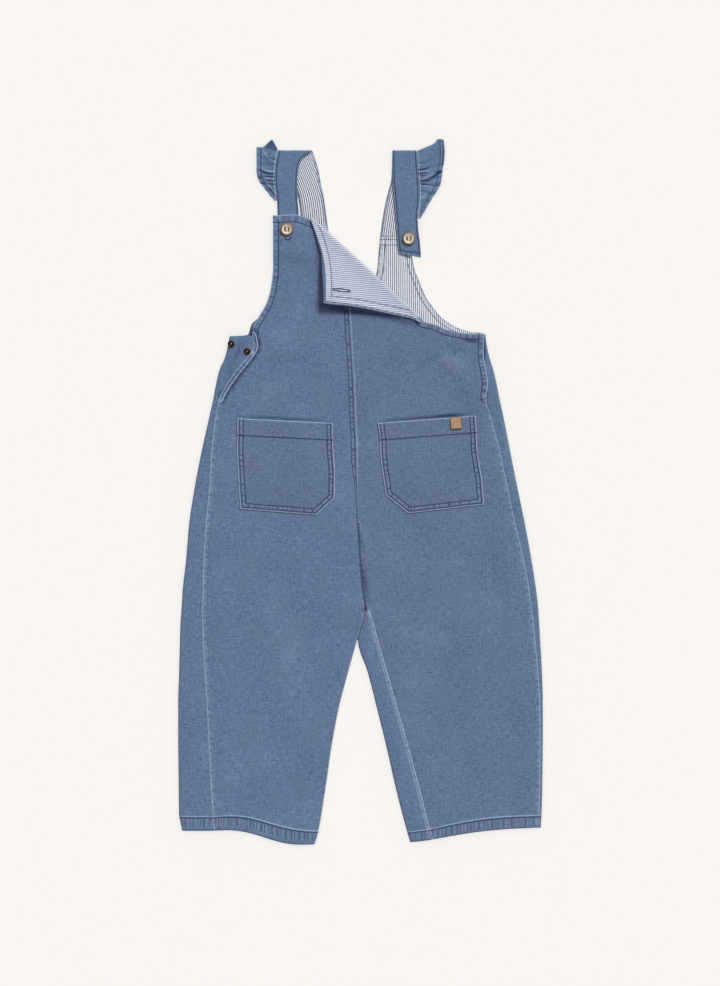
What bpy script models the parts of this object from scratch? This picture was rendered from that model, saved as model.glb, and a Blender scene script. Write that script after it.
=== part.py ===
"""Kids dungarees in washed denim, laid flat on their back with one bib corner turned down.

Left and right are as seen from the front. Tables and sizes are in millimetres: x from the
middle of the garment, y up from the lowest point of the hem, z up from the surface.
Every panel is a sheet of points in sections, given its wall by Solidify.
"""

import math
from typing import NamedTuple

import bmesh
import bpy
import numpy as np
from mathutils import Matrix

MM = 0.001
GARMENT_LENGTH = 811.5
LEFT = -1.0
RIGHT = 1.0

# Walls
DENIM = 1.2
LEG_HEM = 2.4  # denim turned up at the leg
POCKET_BAND = 2.0  # denim turned over at the pocket mouth
RUFFLE_HEM = 1.8
TICKING = 1.0  # striped facings and strap linings
GAP = 0.3  # between pieces that meet or lie on each other
SEAM = GAP / 2

# Side and inner leg folds
FOLD_OUTER_RADIUS = 2.6
FOLD_TOP = 2 * FOLD_OUTER_RADIUS
FRONT_EDGE_LEVEL = FOLD_TOP - DENIM / 2
PLACKET_RISE = DENIM + GAP  # the placket lies on the back's extension
PLACKET_START = 0.2  # lap from which it does
SETTLE = 45.0  # how far a raised edge takes to come to rest
ARC_STEPS = 5

# Bib, with the fold across its corner
FACING_LEVEL = DENIM + GAP + TICKING / 2
BIB_LEVEL = DENIM + GAP + TICKING + GAP + DENIM / 2
TURN_LEVEL = 4.4  # the bib where it starts to turn over
TURN_RADIUS = 1.6
TURN_START = (-57.3, 719.0)
TURN_END = (70.0, 602.2)
FLAP_LEVEL = 7.2  # free edge of the turned corner
FLAP_SETTLE = 30.0
FLAP_FACING_RISE = DENIM / 2 + GAP + TICKING / 2
FACING_ROLL = 35.0  # degrees round the turn before the facing starts
BACK_FACING_END = 577.0

# Straps
STRAP_RADIUS = 2.1
STRAP_LEVEL = DENIM / 2 + 2 * STRAP_RADIUS
LINING_INSET = 1.0
BIB_OVER_STRAP = STRAP_LEVEL + DENIM + GAP
STRAP_UNDER_BIB = (-98.0, -66.0, 685.0)  # left, right and lower end, with some room
STRAP_SETTLE = 20.0

# Fractions across a panel, closer together near its edges
FRONT_COLUMNS = (0.0, 0.035, 0.12, 0.2, 0.3, 0.42, 0.55, 0.7, 0.83, 0.94, 1.0)
BACK_COLUMNS = (0.0, 0.25, 0.5, 0.75, 1.0)
ROLL_COLUMNS = (0.0, 0.5, 1.0)
FLAP_COLUMNS = (0.0, 0.15, 0.35, 0.55, 0.8, 1.0)
STRAP_COLUMNS = (0.0, 0.33, 0.67, 1.0)
POCKET_COLUMNS = (0.0, 0.06, 0.25, 0.5, 0.75, 0.94, 1.0)
RUFFLE_COLUMNS = (0.0, 0.15, 0.35, 0.55, 0.74, 0.78, 1.0)

# Trims
STRAP_BUTTON_RADIUS = 7.5
STRAP_BUTTON_HEIGHT = 3.0
STRAP_BUTTON_RIM = 1.6
BUTTON_SLOT = (1.1, 3.2)
BUTTON_SLOT_OFFSET = 1.1
SIDE_SNAP_RADIUS = 4.0
SIDE_SNAP_HEIGHT = 2.4
LABEL_SIZE = (12.4, 13.4, 1.2)
LABEL_CENTRE = (109.5, 485.6)
LABEL_TURN = 4.4  # degrees, along the pocket mouth
LABEL_COLUMNS = (-0.5, 0.0, 0.5)
LEFT_BUTTON = (-84.5, 708.0)
RIGHT_BUTTON = (55.5, 697.5)
OUTER_SNAP = (-147.8, 576.5)
INNER_SNAP = (-131.5, 568.0)


class BodyRow(NamedTuple):
    """A section across one half of the body, from its side to the middle or the inner leg."""

    side_y: float
    side_x: float  # the fold at the side, which is the outline
    seam_x: float  # edge of the front: the placket, then the side seam
    lap: float  # how far the back runs on under the placket
    inner_y: float
    front_x: float  # centre front seam, then the inseam as seen on the front
    back_x: float  # centre back seam, then the inner edge of the leg
    rise: float  # how far the front comes up to the level of a fold at its inner end
    floor: float  # top of what the front lies on
    bow: float = 0.0  # the section bows up by this much in its middle
    wave: float = 0.0  # and waves by this much to each side of it


LEFT_BODY = (
    BodyRow(585.5, -150.5, -124.5, 11.0, 583.5, -13.5, -6.5, 0.0, 2.5),
    BodyRow(574.5, -152.5, -122.5, 10.0, 573.5, -13.0, -6.0, 0.0, 2.5),
    BodyRow(562.0, -155.5, -129.5, 10.0, 560.5, -12.5, -5.5, 0.0, 2.0),
    BodyRow(547.0, -162.0, -141.5, 9.0, 545.5, -12.0, -5.0, 0.0, 1.2),
    BodyRow(530.5, -166.0, -153.5, 6.0, 529.5, -11.0, -4.5, 0.0, 1.2),
    BodyRow(514.5, -169.0, -162.0, 0.2, 513.5, -10.0, -4.0, 0.0, 1.2),
    BodyRow(494.0, -173.5, -166.0, 0.0, 494.0, -8.5, -3.0, 0.0, 1.2),
    BodyRow(456.0, -182.0, -171.0, 0.0, 456.0, -7.5, -1.5, 0.0, 1.2),
    BodyRow(418.0, -189.5, -173.0, 0.0, 418.0, -7.0, -0.5, 0.0, 1.2),
    BodyRow(369.5, -197.0, -177.5, 0.0, 369.5, -5.0, 1.5, 0.0, 1.2),
    BodyRow(328.5, -200.5, -180.0, 0.0, 328.5, -1.0, 3.0, 0.0, 1.2),
    BodyRow(292.5, -204.5, -181.0, 0.0, 292.5, 3.0, 4.5, 0.2, 1.2),
    BodyRow(275.5, -205.5, -181.5, 0.0, 275.5, 6.0, 5.0, 0.4, 1.2),
    BodyRow(268.5, -206.0, -181.5, 0.0, 268.5, 4.5, 4.5, 0.4, 1.2),
    BodyRow(253.5, -207.0, -181.5, 0.0, 253.5, 0.5, 0.5, 0.2, 1.2),
    BodyRow(236.5, -207.5, -181.0, 0.0, 236.5, -4.0, -4.0, 0.0, 1.2),
    BodyRow(199.5, -208.5, -179.0, 0.0, 198.5, -14.5, -14.5, 0.0, 1.2),
    BodyRow(164.0, -209.5, -176.5, 0.0, 158.0, -25.0, -25.0, 0.0, 1.2),
    BodyRow(121.5, -209.5, -174.5, 0.0, 115.5, -33.0, -33.0, 0.0, 1.2),
    BodyRow(75.5, -209.0, -172.0, 0.0, 67.5, -40.0, -40.0, 0.0, 1.2),
    BodyRow(31.0, -208.5, -169.5, 0.0, 14.5, -48.5, -48.5, 0.0, 2.4, 2.5, 3.0),
    BodyRow(15.0, -203.0, -168.5, 0.0, 1.5, -52.5, -52.5, 0.0, 2.4, 0.0, 3.5),
)

RIGHT_BODY = (
    BodyRow(587.5, 143.5, 142.5, 10.0, 583.5, -13.5, -6.5, 0.0, 2.5),
    BodyRow(575.5, 145.0, 141.5, 10.0, 573.5, -13.0, -6.0, 0.0, 2.5),
    BodyRow(562.0, 148.0, 141.5, 10.0, 560.5, -12.5, -5.5, 0.0, 2.0),
    BodyRow(547.0, 152.5, 144.0, 10.0, 545.5, -12.0, -5.0, 0.0, 1.2),
    BodyRow(530.5, 156.5, 146.0, 8.0, 529.5, -11.0, -4.5, 0.0, 1.2),
    BodyRow(514.5, 159.5, 144.5, 0.2, 513.5, -10.0, -4.0, 0.0, 1.2),
    BodyRow(494.0, 164.0, 149.5, 0.0, 494.0, -8.5, -3.0, 0.0, 1.2),
    BodyRow(456.0, 171.5, 159.5, 0.0, 456.0, -7.5, -1.5, 0.0, 1.2),
    BodyRow(418.0, 179.0, 167.5, 0.0, 418.0, -7.0, -0.5, 0.0, 1.2),
    BodyRow(369.5, 189.0, 178.0, 0.0, 369.5, -5.0, 1.5, 0.0, 1.2),
    BodyRow(328.5, 196.5, 187.5, 0.0, 328.5, -1.0, 3.0, 0.0, 1.2),
    BodyRow(292.5, 202.0, 194.0, 0.0, 292.5, 3.0, 4.5, 0.2, 1.2),
    BodyRow(275.5, 204.0, 196.0, 0.0, 275.5, 6.0, 5.0, 0.6, 1.2),
    BodyRow(268.5, 204.5, 197.0, 0.0, 268.5, 8.0, 5.0, 1.0, 1.2),
    BodyRow(253.5, 205.5, 199.0, 0.0, 253.5, 12.5, 1.0, 1.0, 1.2),
    BodyRow(236.5, 206.5, 200.5, 0.0, 236.5, 17.0, -3.0, 1.0, 1.2),
    BodyRow(199.5, 208.5, 204.0, 0.0, 198.5, 28.0, 8.5, 1.0, 1.2),
    BodyRow(164.0, 209.5, 206.0, 0.0, 158.0, 39.5, 19.0, 1.0, 1.2),
    BodyRow(121.5, 209.5, 206.5, 0.0, 115.5, 51.5, 29.5, 1.0, 1.2),
    BodyRow(75.5, 209.0, 206.0, 0.0, 67.5, 64.5, 40.5, 1.0, 1.2),
    BodyRow(35.5, 208.0, 205.0, 0.0, 19.0, 77.0, 53.5, 1.0, 2.4, 4.0, 0.0),
    BodyRow(21.5, 207.0, 204.0, 0.0, 5.0, 81.0, 57.0, 1.0, 2.4, 3.0, 0.0),
)

LEG_START = 13  # first body row below the crotch
HEM_STEP = 0.08  # of the hem's depth, over which its wall thickens


def turn_y(x):
    """Height of the line that the bib corner turns on."""
    return float(np.interp(x, (TURN_START[0], TURN_END[0]), (TURN_START[1], TURN_END[1])))


class BibRow(NamedTuple):
    """A section across one half of the bib, which may run on round the turned corner."""

    outer_y: float
    outer_x: float
    inner_y: float
    inner_x: float
    outer_level: float
    inner_level: float
    bow: float = 0.0
    flap_x: float | None = None  # where it ends on the turned corner
    flap_y: float | None = None


LEFT_BIB = (
    BibRow(724.0, -100.5, 719.0, -57.3, BIB_LEVEL, TURN_LEVEL, 2.5, -45.0, 679.5),
    BibRow(713.5, -100.5, turn_y(-43.0), -43.0, BIB_LEVEL, TURN_LEVEL, 0.0, -34.5, 681.0),
    BibRow(702.0, -100.5, turn_y(-30.0), -30.0, BIB_LEVEL, TURN_LEVEL, 0.0, -26.0, 682.0),
    BibRow(689.5, -100.5, turn_y(-16.8), -16.8, BIB_LEVEL, TURN_LEVEL, 0.0, -18.0, 682.2),
    BibRow(666.5, -100.5, 666.0, -16.5, BIB_LEVEL, 3.8),
    BibRow(644.5, -102.5, 643.5, -16.0, BIB_LEVEL, BIB_LEVEL),
    BibRow(624.5, -107.5, 621.5, -15.5, BIB_LEVEL, BIB_LEVEL),
    BibRow(606.5, -117.5, 602.0, -14.5, 4.2, BIB_LEVEL),
    BibRow(594.0, -123.5, 591.5, -14.0, 5.6, BIB_LEVEL),
)

RIGHT_BIB = (
    BibRow(turn_y(-16.0), -16.0, turn_y(-16.0), -16.3, TURN_LEVEL, TURN_LEVEL, 0.0, -16.0, 620.0),
    BibRow(turn_y(1.7), 1.7, 668.0, -16.5, TURN_LEVEL, 3.8, 0.0, 2.0, 617.3),
    BibRow(turn_y(23.7), 23.7, 651.0, -16.0, TURN_LEVEL, BIB_LEVEL, 0.0, 24.0, 613.0),
    BibRow(turn_y(46.7), 46.7, 635.0, -16.0, TURN_LEVEL, BIB_LEVEL, 0.0, 46.0, 608.5),
    BibRow(turn_y(60.0), 60.0, 622.5, -15.5, TURN_LEVEL, BIB_LEVEL, 0.0, 59.0, 605.5),
    BibRow(TURN_END[1], TURN_END[0], 614.0, -15.2, TURN_LEVEL, BIB_LEVEL, 0.0, 68.8, 600.8),
    BibRow(598.0, 87.0, 608.0, -14.8, 4.0, BIB_LEVEL),
    BibRow(593.0, 99.0, 602.0, -14.5, 3.8, BIB_LEVEL),
    BibRow(588.5, 121.5, 593.0, -14.0, 4.6, BIB_LEVEL),
)


class FlapRow(NamedTuple):
    """A section across the turned corner, from its root to its free edge."""

    root_x: float
    root_y: float
    edge_x: float
    edge_y: float
    bow: float = 0.0  # sideways, in its middle


# The part of the right half that starts from the centre front seam, on the turned corner
RIGHT_FLAP_AT_SEAM = (
    FlapRow(-45.0, 679.2, -42.0, 622.5),
    FlapRow(-31.0, 681.0, -29.5, 621.0),
)

FLAP_FACING = (
    FlapRow(-57.3, 719.0, -40.0, 624.5, 6.5),
    FlapRow(-43.0, turn_y(-43.0), -33.0, 623.8, 2.5),
    FlapRow(-30.0, turn_y(-30.0), -25.5, 623.0),
    FlapRow(-16.0, turn_y(-16.0), -16.0, 622.0),
    FlapRow(1.7, turn_y(1.7), 2.0, 619.3),
    FlapRow(23.7, turn_y(23.7), 24.0, 615.0),
    FlapRow(46.7, turn_y(46.7), 46.0, 610.5),
    FlapRow(60.0, turn_y(60.0), 58.5, 607.6),
    FlapRow(66.0, turn_y(66.0), 64.8, 604.6),
)


class BackRow(NamedTuple):
    """A section across one half of the back above the underarm."""

    y: float
    armhole_x: float
    neck_x: float  # the neckline, then the centre back seam


LEFT_BACK = (
    BackRow(699.8, -65.0, -35.5),
    BackRow(688.5, -66.0, -34.0),
    BackRow(677.0, -68.5, -32.0),
    BackRow(664.0, -72.0, -30.5),
    BackRow(650.5, -76.0, -27.5),
    BackRow(639.0, -81.0, -23.5),
    BackRow(627.5, -91.5, -17.0),
    BackRow(618.0, -98.5, -7.5),
    BackRow(609.0, -113.5, -7.0),
    BackRow(599.5, -125.0, -7.0),
    BackRow(587.0, -130.0, -6.5),
)

RIGHT_BACK = (
    BackRow(699.8, 56.0, 22.5),
    BackRow(688.5, 57.0, 21.5),
    BackRow(677.0, 59.0, 20.5),
    BackRow(664.0, 61.5, 19.5),
    BackRow(650.5, 66.5, 16.5),
    BackRow(639.0, 71.0, 12.0),
    BackRow(627.5, 76.5, 4.0),
    BackRow(618.0, 83.5, -7.0),
    BackRow(609.0, 91.0, -7.0),
    BackRow(602.0, 99.5, -7.0),
    BackRow(594.5, 113.0, -6.5),
    BackRow(590.5, 127.0, -6.5),
    BackRow(589.0, 140.5, -6.5),
)
NECK_ROWS = 7  # back rows that end on the neckline


class StrapRow(NamedTuple):
    """A section across a strap."""

    y: float
    left: float
    right: float


# Each strap from its buttoned end up to the shoulder, and from there down to the back
LEFT_STRAP_FRONT = (
    StrapRow(689.5, -95.0, -71.5),
    StrapRow(708.0, -95.5, -71.0),
    StrapRow(726.0, -95.5, -71.0),
    StrapRow(747.0, -96.5, -72.5),
    StrapRow(765.5, -98.5, -72.5),
    StrapRow(781.5, -97.5, -70.5),
    StrapRow(791.0, -96.0, -66.0),
    StrapRow(796.3, -94.5, -57.5),
)
LEFT_STRAP_BACK = (
    StrapRow(796.3, -93.0, -54.5),
    StrapRow(779.0, -84.5, -49.0),
    StrapRow(757.5, -75.5, -45.0),
    StrapRow(743.5, -70.5, -42.0),
    StrapRow(725.0, -66.5, -39.5),
    StrapRow(700.1, -64.5, -36.0),
)
RIGHT_STRAP_FRONT = (
    StrapRow(678.0, 44.5, 69.5),
    StrapRow(691.5, 43.0, 68.5),
    StrapRow(706.5, 42.0, 66.5),
    StrapRow(725.0, 40.5, 65.5),
    StrapRow(742.5, 39.0, 67.5),
    StrapRow(760.5, 37.5, 67.0),
    StrapRow(781.5, 36.5, 65.5),
    StrapRow(796.3, 36.5, 64.5),
)
RIGHT_STRAP_BACK = (
    StrapRow(796.3, 36.5, 64.5),
    StrapRow(767.5, 35.5, 64.0),
    StrapRow(752.5, 32.0, 61.5),
    StrapRow(733.0, 27.5, 59.0),
    StrapRow(714.5, 24.5, 57.0),
    StrapRow(700.1, 22.5, 56.0),
)


class RuffleRow(NamedTuple):
    """A section across a ruffle, from the strap's edge out."""

    seam_y: float
    edge_x: float
    edge_y: float
    gather: float = 0.0  # share of the full depth of its waves


LEFT_RUFFLE_FRONT = (
    RuffleRow(741.0, -98.5, 741.0),
    RuffleRow(749.0, -105.0, 748.0, 0.6),
    RuffleRow(757.5, -111.5, 757.0, 1.0),
    RuffleRow(765.5, -117.0, 764.5, 1.0),
    RuffleRow(774.5, -119.5, 774.5, 0.8),
    RuffleRow(785.0, -119.5, 786.0, 0.4),
    RuffleRow(797.0, -119.5, 801.0),
)
LEFT_RUFFLE_BACK = (
    RuffleRow(797.0, -119.5, 801.0),
    RuffleRow(783.0, -114.0, 784.0, 0.6),
    RuffleRow(770.0, -106.0, 768.0, 1.0),
    RuffleRow(757.0, -94.0, 754.0, 0.6),
    RuffleRow(745.0, -75.0, 743.0),
)
RIGHT_RUFFLE_FRONT = (
    RuffleRow(721.0, 68.0, 720.0),
    RuffleRow(728.5, 73.5, 728.5, 0.2),
    RuffleRow(742.5, 82.0, 743.5, 0.5),
    RuffleRow(754.0, 89.5, 755.0, 1.0),
    RuffleRow(762.0, 93.0, 764.0, 1.0),
    RuffleRow(770.0, 94.0, 775.0, 0.8),
    RuffleRow(778.0, 96.0, 786.0, 0.4),
    RuffleRow(788.0, 96.5, 797.5, 0.1),
    RuffleRow(795.5, 94.5, 808.4),
)
RIGHT_RUFFLE_BACK = (
    RuffleRow(795.5, 94.5, 808.4),
    RuffleRow(782.0, 92.5, 792.0, 0.6),
    RuffleRow(768.0, 89.0, 770.0, 1.0),
    RuffleRow(754.0, 79.0, 753.0, 0.6),
    RuffleRow(740.0, 64.0, 738.0),
)
RUFFLE_WAVE = 1.1
RUFFLE_WAVES = 8
RUFFLE_SAMPLES = 40
RUFFLE_BACK_SAMPLES = 16
RUFFLE_BACK_WAVE = 0.3
RUFFLE_EDGE_LEVEL = 3.9
RUFFLE_UNDER_LEVEL = RUFFLE_HEM / 2 + RUFFLE_BACK_WAVE
LEFT_RUFFLE_PEAK = 11.3  # the left one's fold stands up in a point


class PocketRow(NamedTuple):
    """A section across a patch pocket."""

    left_y: float
    left_x: float
    right_y: float
    right_x: float


LEFT_POCKET = (
    PocketRow(491.0, -141.5, 485.5, -32.0),
    PocketRow(470.0, -141.5, 464.0, -31.5),
    PocketRow(453.5, -142.0, 449.0, -31.0),
    PocketRow(436.5, -141.0, 433.0, -29.5),
    PocketRow(418.5, -140.0, 414.5, -29.5),
    PocketRow(401.0, -139.0, 399.5, -30.0),
    PocketRow(387.0, -138.0, 380.0, -51.0),
)
RIGHT_POCKET = (
    PocketRow(485.5, 20.0, 494.0, 132.0),
    PocketRow(464.5, 22.5, 471.0, 133.5),
    PocketRow(449.0, 23.0, 455.0, 134.0),
    PocketRow(433.0, 24.5, 438.5, 136.5),
    PocketRow(418.0, 27.0, 420.5, 139.5),
    PocketRow(403.0, 29.0, 406.5, 140.5),
    PocketRow(382.0, 55.0, 392.0, 142.0),
)
POCKET_RISE = GAP + 0.1  # over the front's own curve


class Point(NamedTuple):
    """A point of a sheet, and 1 where the cloth is turned double there."""

    x: float
    y: float
    z: float
    turned: float = 0.0


class Span(NamedTuple):
    """A section line of a front panel, with the levels of its two ends and of its rest."""

    outer: Point
    inner: Point
    rest: float
    flat: float  # length at the outer end that keeps its level
    bow: float
    wave: float
    turned: float


def ease(distance, length):
    """1 at no distance, falling smoothly to 0 at the given length."""
    share = min(max(distance / length, 0.0), 1.0)
    return 0.5 * (1.0 + math.cos(math.pi * share))


def mix(first, second, share):
    """A row between two rows of a table."""
    return type(first)(*(a + (b - a) * share for a, b in zip(first, second)))


def hemmed(rows):
    """The rows of a table with a mark for each: 1 in the hem, whose wall starts with a step."""
    top, edge = rows[-2:]
    return [(row, 0.0) for row in rows[:-1]] + [(mix(top, edge, HEM_STEP), 1.0), (edge, 1.0)]


# ------------------------------------------------------------------ front


def bib_rise(x, y):
    """Level of the bib over the left strap's end, which lies under it."""
    left, right, lower = STRAP_UNDER_BIB
    away = math.hypot(max(left - x, x - right, 0.0), max(lower - y, 0.0))
    return BIB_LEVEL + (BIB_OVER_STRAP - BIB_LEVEL) * ease(away, STRAP_SETTLE)


def span_point(span, share):
    """A point of a front section, at a share of the way from its outer end."""
    x = span.outer.x + (span.inner.x - span.outer.x) * share
    y = span.outer.y + (span.inner.y - span.outer.y) * share
    y += span.bow * math.sin(math.pi * share) + span.wave * math.sin(2 * math.pi * share)
    width = abs(span.inner.x - span.outer.x)
    level = span.rest
    level += (span.outer.z - span.rest) * ease(width * share - span.flat, SETTLE)
    level += (span.inner.z - span.rest) * ease(width * (1.0 - share), SETTLE)
    return Point(x, y, max(level, bib_rise(x, y)) if y > BACK_FACING_END else level, span.turned)


def front_spans(bib, body, side):
    """Sections of one front, from the top of the bib to the hem."""
    spans = []
    for row in bib:
        on_seam = row.flap_x is None or side == RIGHT
        inner_x = row.inner_x + (side * SEAM if on_seam else 0.0)
        outer = Point(row.outer_x, row.outer_y, row.outer_level)
        inner = Point(inner_x, row.inner_y, row.inner_level)
        spans.append(Span(outer, inner, BIB_LEVEL, 0.0, row.bow, 0.0, 0.0))
    for row, turned in hemmed(body):
        wall = DENIM + (LEG_HEM - DENIM) * turned
        rest = row.floor + GAP + wall / 2
        edge = FOLD_TOP - wall / 2
        over = PLACKET_RISE * min(row.lap / PLACKET_START, 1.0)
        outer = Point(row.seam_x - side * SEAM, row.side_y, edge + over)
        inner_level = rest + (edge - rest) * row.rise
        inner = Point(row.front_x + side * SEAM, row.inner_y, inner_level)
        flat = row.lap + 2.0 if row.lap else 0.0
        spans.append(Span(outer, inner, rest, flat, row.bow, row.wave, turned))
    return spans


def turn_distance(x, y):
    """How far inside the line that the corner turns on a point lies."""
    along = np.subtract(TURN_END, TURN_START)
    along = along / np.linalg.norm(along)
    return abs(float(along[0] * (y - TURN_START[1]) - along[1] * (x - TURN_START[0])))


def turn_points(x, y, radius, start=0.0):
    """Round the turn of the bib corner at a point of its line, from the bib up to the flap."""
    along = np.subtract(TURN_END, TURN_START)
    along = along / np.linalg.norm(along)
    points = []
    for angle in np.radians(np.linspace(start, 180.0, ARC_STEPS + 1)):
        out = radius * math.sin(angle)
        level = TURN_LEVEL + TURN_RADIUS - radius * math.cos(angle)
        points.append(Point(x - along[1] * out, y + along[0] * out, level))
    return points


def flap_points(row, rise=0.0):
    """Across the turned corner, from its root to its free edge."""
    points = []
    for share in FLAP_COLUMNS:
        x = row.root_x + (row.edge_x - row.root_x) * share + row.bow * math.sin(math.pi * share)
        y = row.root_y + (row.edge_y - row.root_y) * share
        top = TURN_LEVEL + 2 * TURN_RADIUS
        level = FLAP_LEVEL + (top - FLAP_LEVEL) * ease(turn_distance(x, y), FLAP_SETTLE)
        points.append(Point(x, y, level + rise))
    return points


def front_patches(bib, body, side):
    """One front and its share of the turned corner, as patches that meet in shared rows."""
    spans = front_spans(bib, body, side)
    base = [[span_point(span, share) for share in FRONT_COLUMNS] for span in spans]
    turned = [row for row in bib if row.flap_x is not None]
    rows = []
    for row in turned:
        x, y = (row.inner_x, row.inner_y) if side == LEFT else (row.outer_x, row.outer_y)
        rows.append(FlapRow(x, y, row.flap_x, row.flap_y))
    turn = [turn_points(row.root_x, row.root_y, TURN_RADIUS) for row in rows]
    if side == RIGHT:
        rows = [*RIGHT_FLAP_AT_SEAM, *rows]
    return [base, turn, [flap_points(row) for row in rows]]


def front_level(spans, x, y):
    """Level of a front panel's sheet over a point of the plan."""
    above = None
    for span in spans:
        share = min(max((x - span.outer.x) / (span.inner.x - span.outer.x), 0.0), 1.0)
        levels = [span_point(span, column).z for column in FRONT_COLUMNS]
        level = float(np.interp(share, FRONT_COLUMNS, levels))
        height = span_point(span, share).y
        if above and height <= y:
            between = (above[0] - y) / (above[0] - height)
            return above[1] + (level - above[1]) * between
        above = (height, level)
    return above[1]


def facing_on_flap():
    """The bib facing: it comes round the turn outside the denim and lies on the flap."""
    radius = TURN_RADIUS + FLAP_FACING_RISE
    turn = [turn_points(row.root_x, row.root_y, radius, FACING_ROLL) for row in FLAP_FACING]
    return [turn, [flap_points(row, FLAP_FACING_RISE) for row in FLAP_FACING]]


# ------------------------------------------------------------------ back


def section_y(row, x):
    """Height of a body section at a point across it."""
    share = (x - row.side_x) / (row.front_x - row.side_x)
    y = row.side_y + (row.inner_y - row.side_y) * share
    share = min(max(share, 0.0), 1.0)
    return y + row.bow * math.sin(math.pi * share) + row.wave * math.sin(2 * math.pi * share)


def roll(row, centre_x, outward, end_x, turned):
    """The back's outer face from the surface round a fold and on over the front to its edge."""
    points = []
    for angle in np.radians(np.linspace(0.0, 180.0, ARC_STEPS + 1)):
        x = centre_x + outward * FOLD_OUTER_RADIUS * math.sin(angle)
        level = FOLD_OUTER_RADIUS * (1.0 - math.cos(angle))
        points.append(Point(x, section_y(row, x), level, turned))
    for share in ROLL_COLUMNS[1:]:
        x = centre_x + (end_x - centre_x) * share
        points.append(Point(x, section_y(row, x), FOLD_TOP, turned))
    return points


def back_patches(upper, body, side):
    """One back half by its outer face: flat below, and rolled round to the front at its sides."""
    flat, outer_roll, inner_roll = [], [], []
    for number, row in enumerate(upper):
        inner_x = row.neck_x + (side * SEAM if number >= NECK_ROWS else 0.0)
        columns = [row.armhole_x + (inner_x - row.armhole_x) * share for share in BACK_COLUMNS]
        flat.append([Point(x, row.y, 0.0) for x in columns])
    for number, (row, turned) in enumerate(hemmed(body)):
        centre_x = row.side_x - side * FOLD_OUTER_RADIUS
        end_x = row.seam_x + side * (SEAM - row.lap)
        outer_roll.append(roll(row, centre_x, side, end_x, turned))
        inner_x = row.back_x + side * SEAM
        if side == RIGHT and number >= LEG_START:
            inner_x = row.back_x + FOLD_OUTER_RADIUS
            inner_roll.append(roll(row, inner_x, LEFT, row.front_x - SEAM, turned))
        columns = [centre_x + (inner_x - centre_x) * share for share in BACK_COLUMNS]
        flat.append([Point(x, section_y(row, x), 0.0, turned) for x in columns])
    return [patch for patch in (flat, outer_roll, inner_roll) if patch]


def back_facing_patches():
    """The facing on the back's inner face, in one piece round the neckline."""
    patches = []
    for upper, body, side in ((LEFT_BACK, LEFT_BODY, LEFT), (RIGHT_BACK, RIGHT_BODY, RIGHT)):
        inset = side * LINING_INSET
        rows = []
        for number, row in enumerate(upper):
            neck_x = row.neck_x + inset if number < NECK_ROWS else LEFT_BACK[-1].neck_x
            ends = (row.armhole_x - inset, neck_x, row.y)
            rows.append(ends)
        last = body[0]
        rows.append((last.side_x - side * 12.0, LEFT_BACK[-1].neck_x, BACK_FACING_END))
        patches.append(
            [
                [Point(a + (b - a) * share, y, FACING_LEVEL) for share in BACK_COLUMNS]
                for a, b, y in rows
            ]
        )
    return patches


# ------------------------------------------------------------------ straps and ruffles


def strap_rows(front, back, rise, inset):
    """A strap's sheet: up its front part, over the shoulder and down its back part."""
    radius = STRAP_RADIUS - rise
    ends = [(row, STRAP_LEVEL - rise, 0.0) for row in front]
    for angle in np.radians(np.linspace(0.0, 180.0, ARC_STEPS + 1))[1:-1]:
        row = mix(front[-1], back[0], angle / math.pi)
        level = DENIM / 2 + STRAP_RADIUS + radius * math.cos(angle)
        ends.append((row, level, radius * math.sin(angle)))
    ends += [(row, DENIM / 2 + rise, 0.0) for row in back]
    rows = []
    for row, level, out in ends:
        left, right = row.left + inset, row.right - inset
        columns = [left + (right - left) * share for share in STRAP_COLUMNS]
        rows.append([Point(x, row.y + out, level) for x in columns])
    return rows


def lining_rows(front, back):
    """The striped lining on the inside of a strap, a little narrower and shorter than it."""
    first = front[0]._replace(y=front[0].y + LINING_INSET)
    return strap_rows((first, *front[1:]), back, FLAP_FACING_RISE, LINING_INSET)


def strap_edge(rows, y, side):
    """Where a strap's outer edge lies at a height."""
    rows = sorted(rows)
    edge = [row.left if side == LEFT else row.right for row in rows]
    return float(np.interp(y, [row.y for row in rows], edge))


def along_table(rows, share):
    """The row at a share of the way down a table, counted in rows."""
    place = share * (len(rows) - 1)
    index = min(int(place), len(rows) - 2)
    return mix(rows[index], rows[index + 1], place - index)


def ruffle_points(row, seam_x, seam_level, edge_level, wave, phase):
    """A section across a ruffle, whose waves grow away from its seam."""
    points = []
    for share in RUFFLE_COLUMNS:
        x = seam_x + (row.edge_x - seam_x) * share
        y = row.seam_y + (row.edge_y - row.seam_y) * share
        level = seam_level + (edge_level - seam_level) * share
        level += wave * row.gather * (0.2 + 0.8 * share) * math.sin(phase)
        points.append(Point(x, y, level, 1.0 if share > RUFFLE_COLUMNS[4] else 0.0))
    return points


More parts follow.
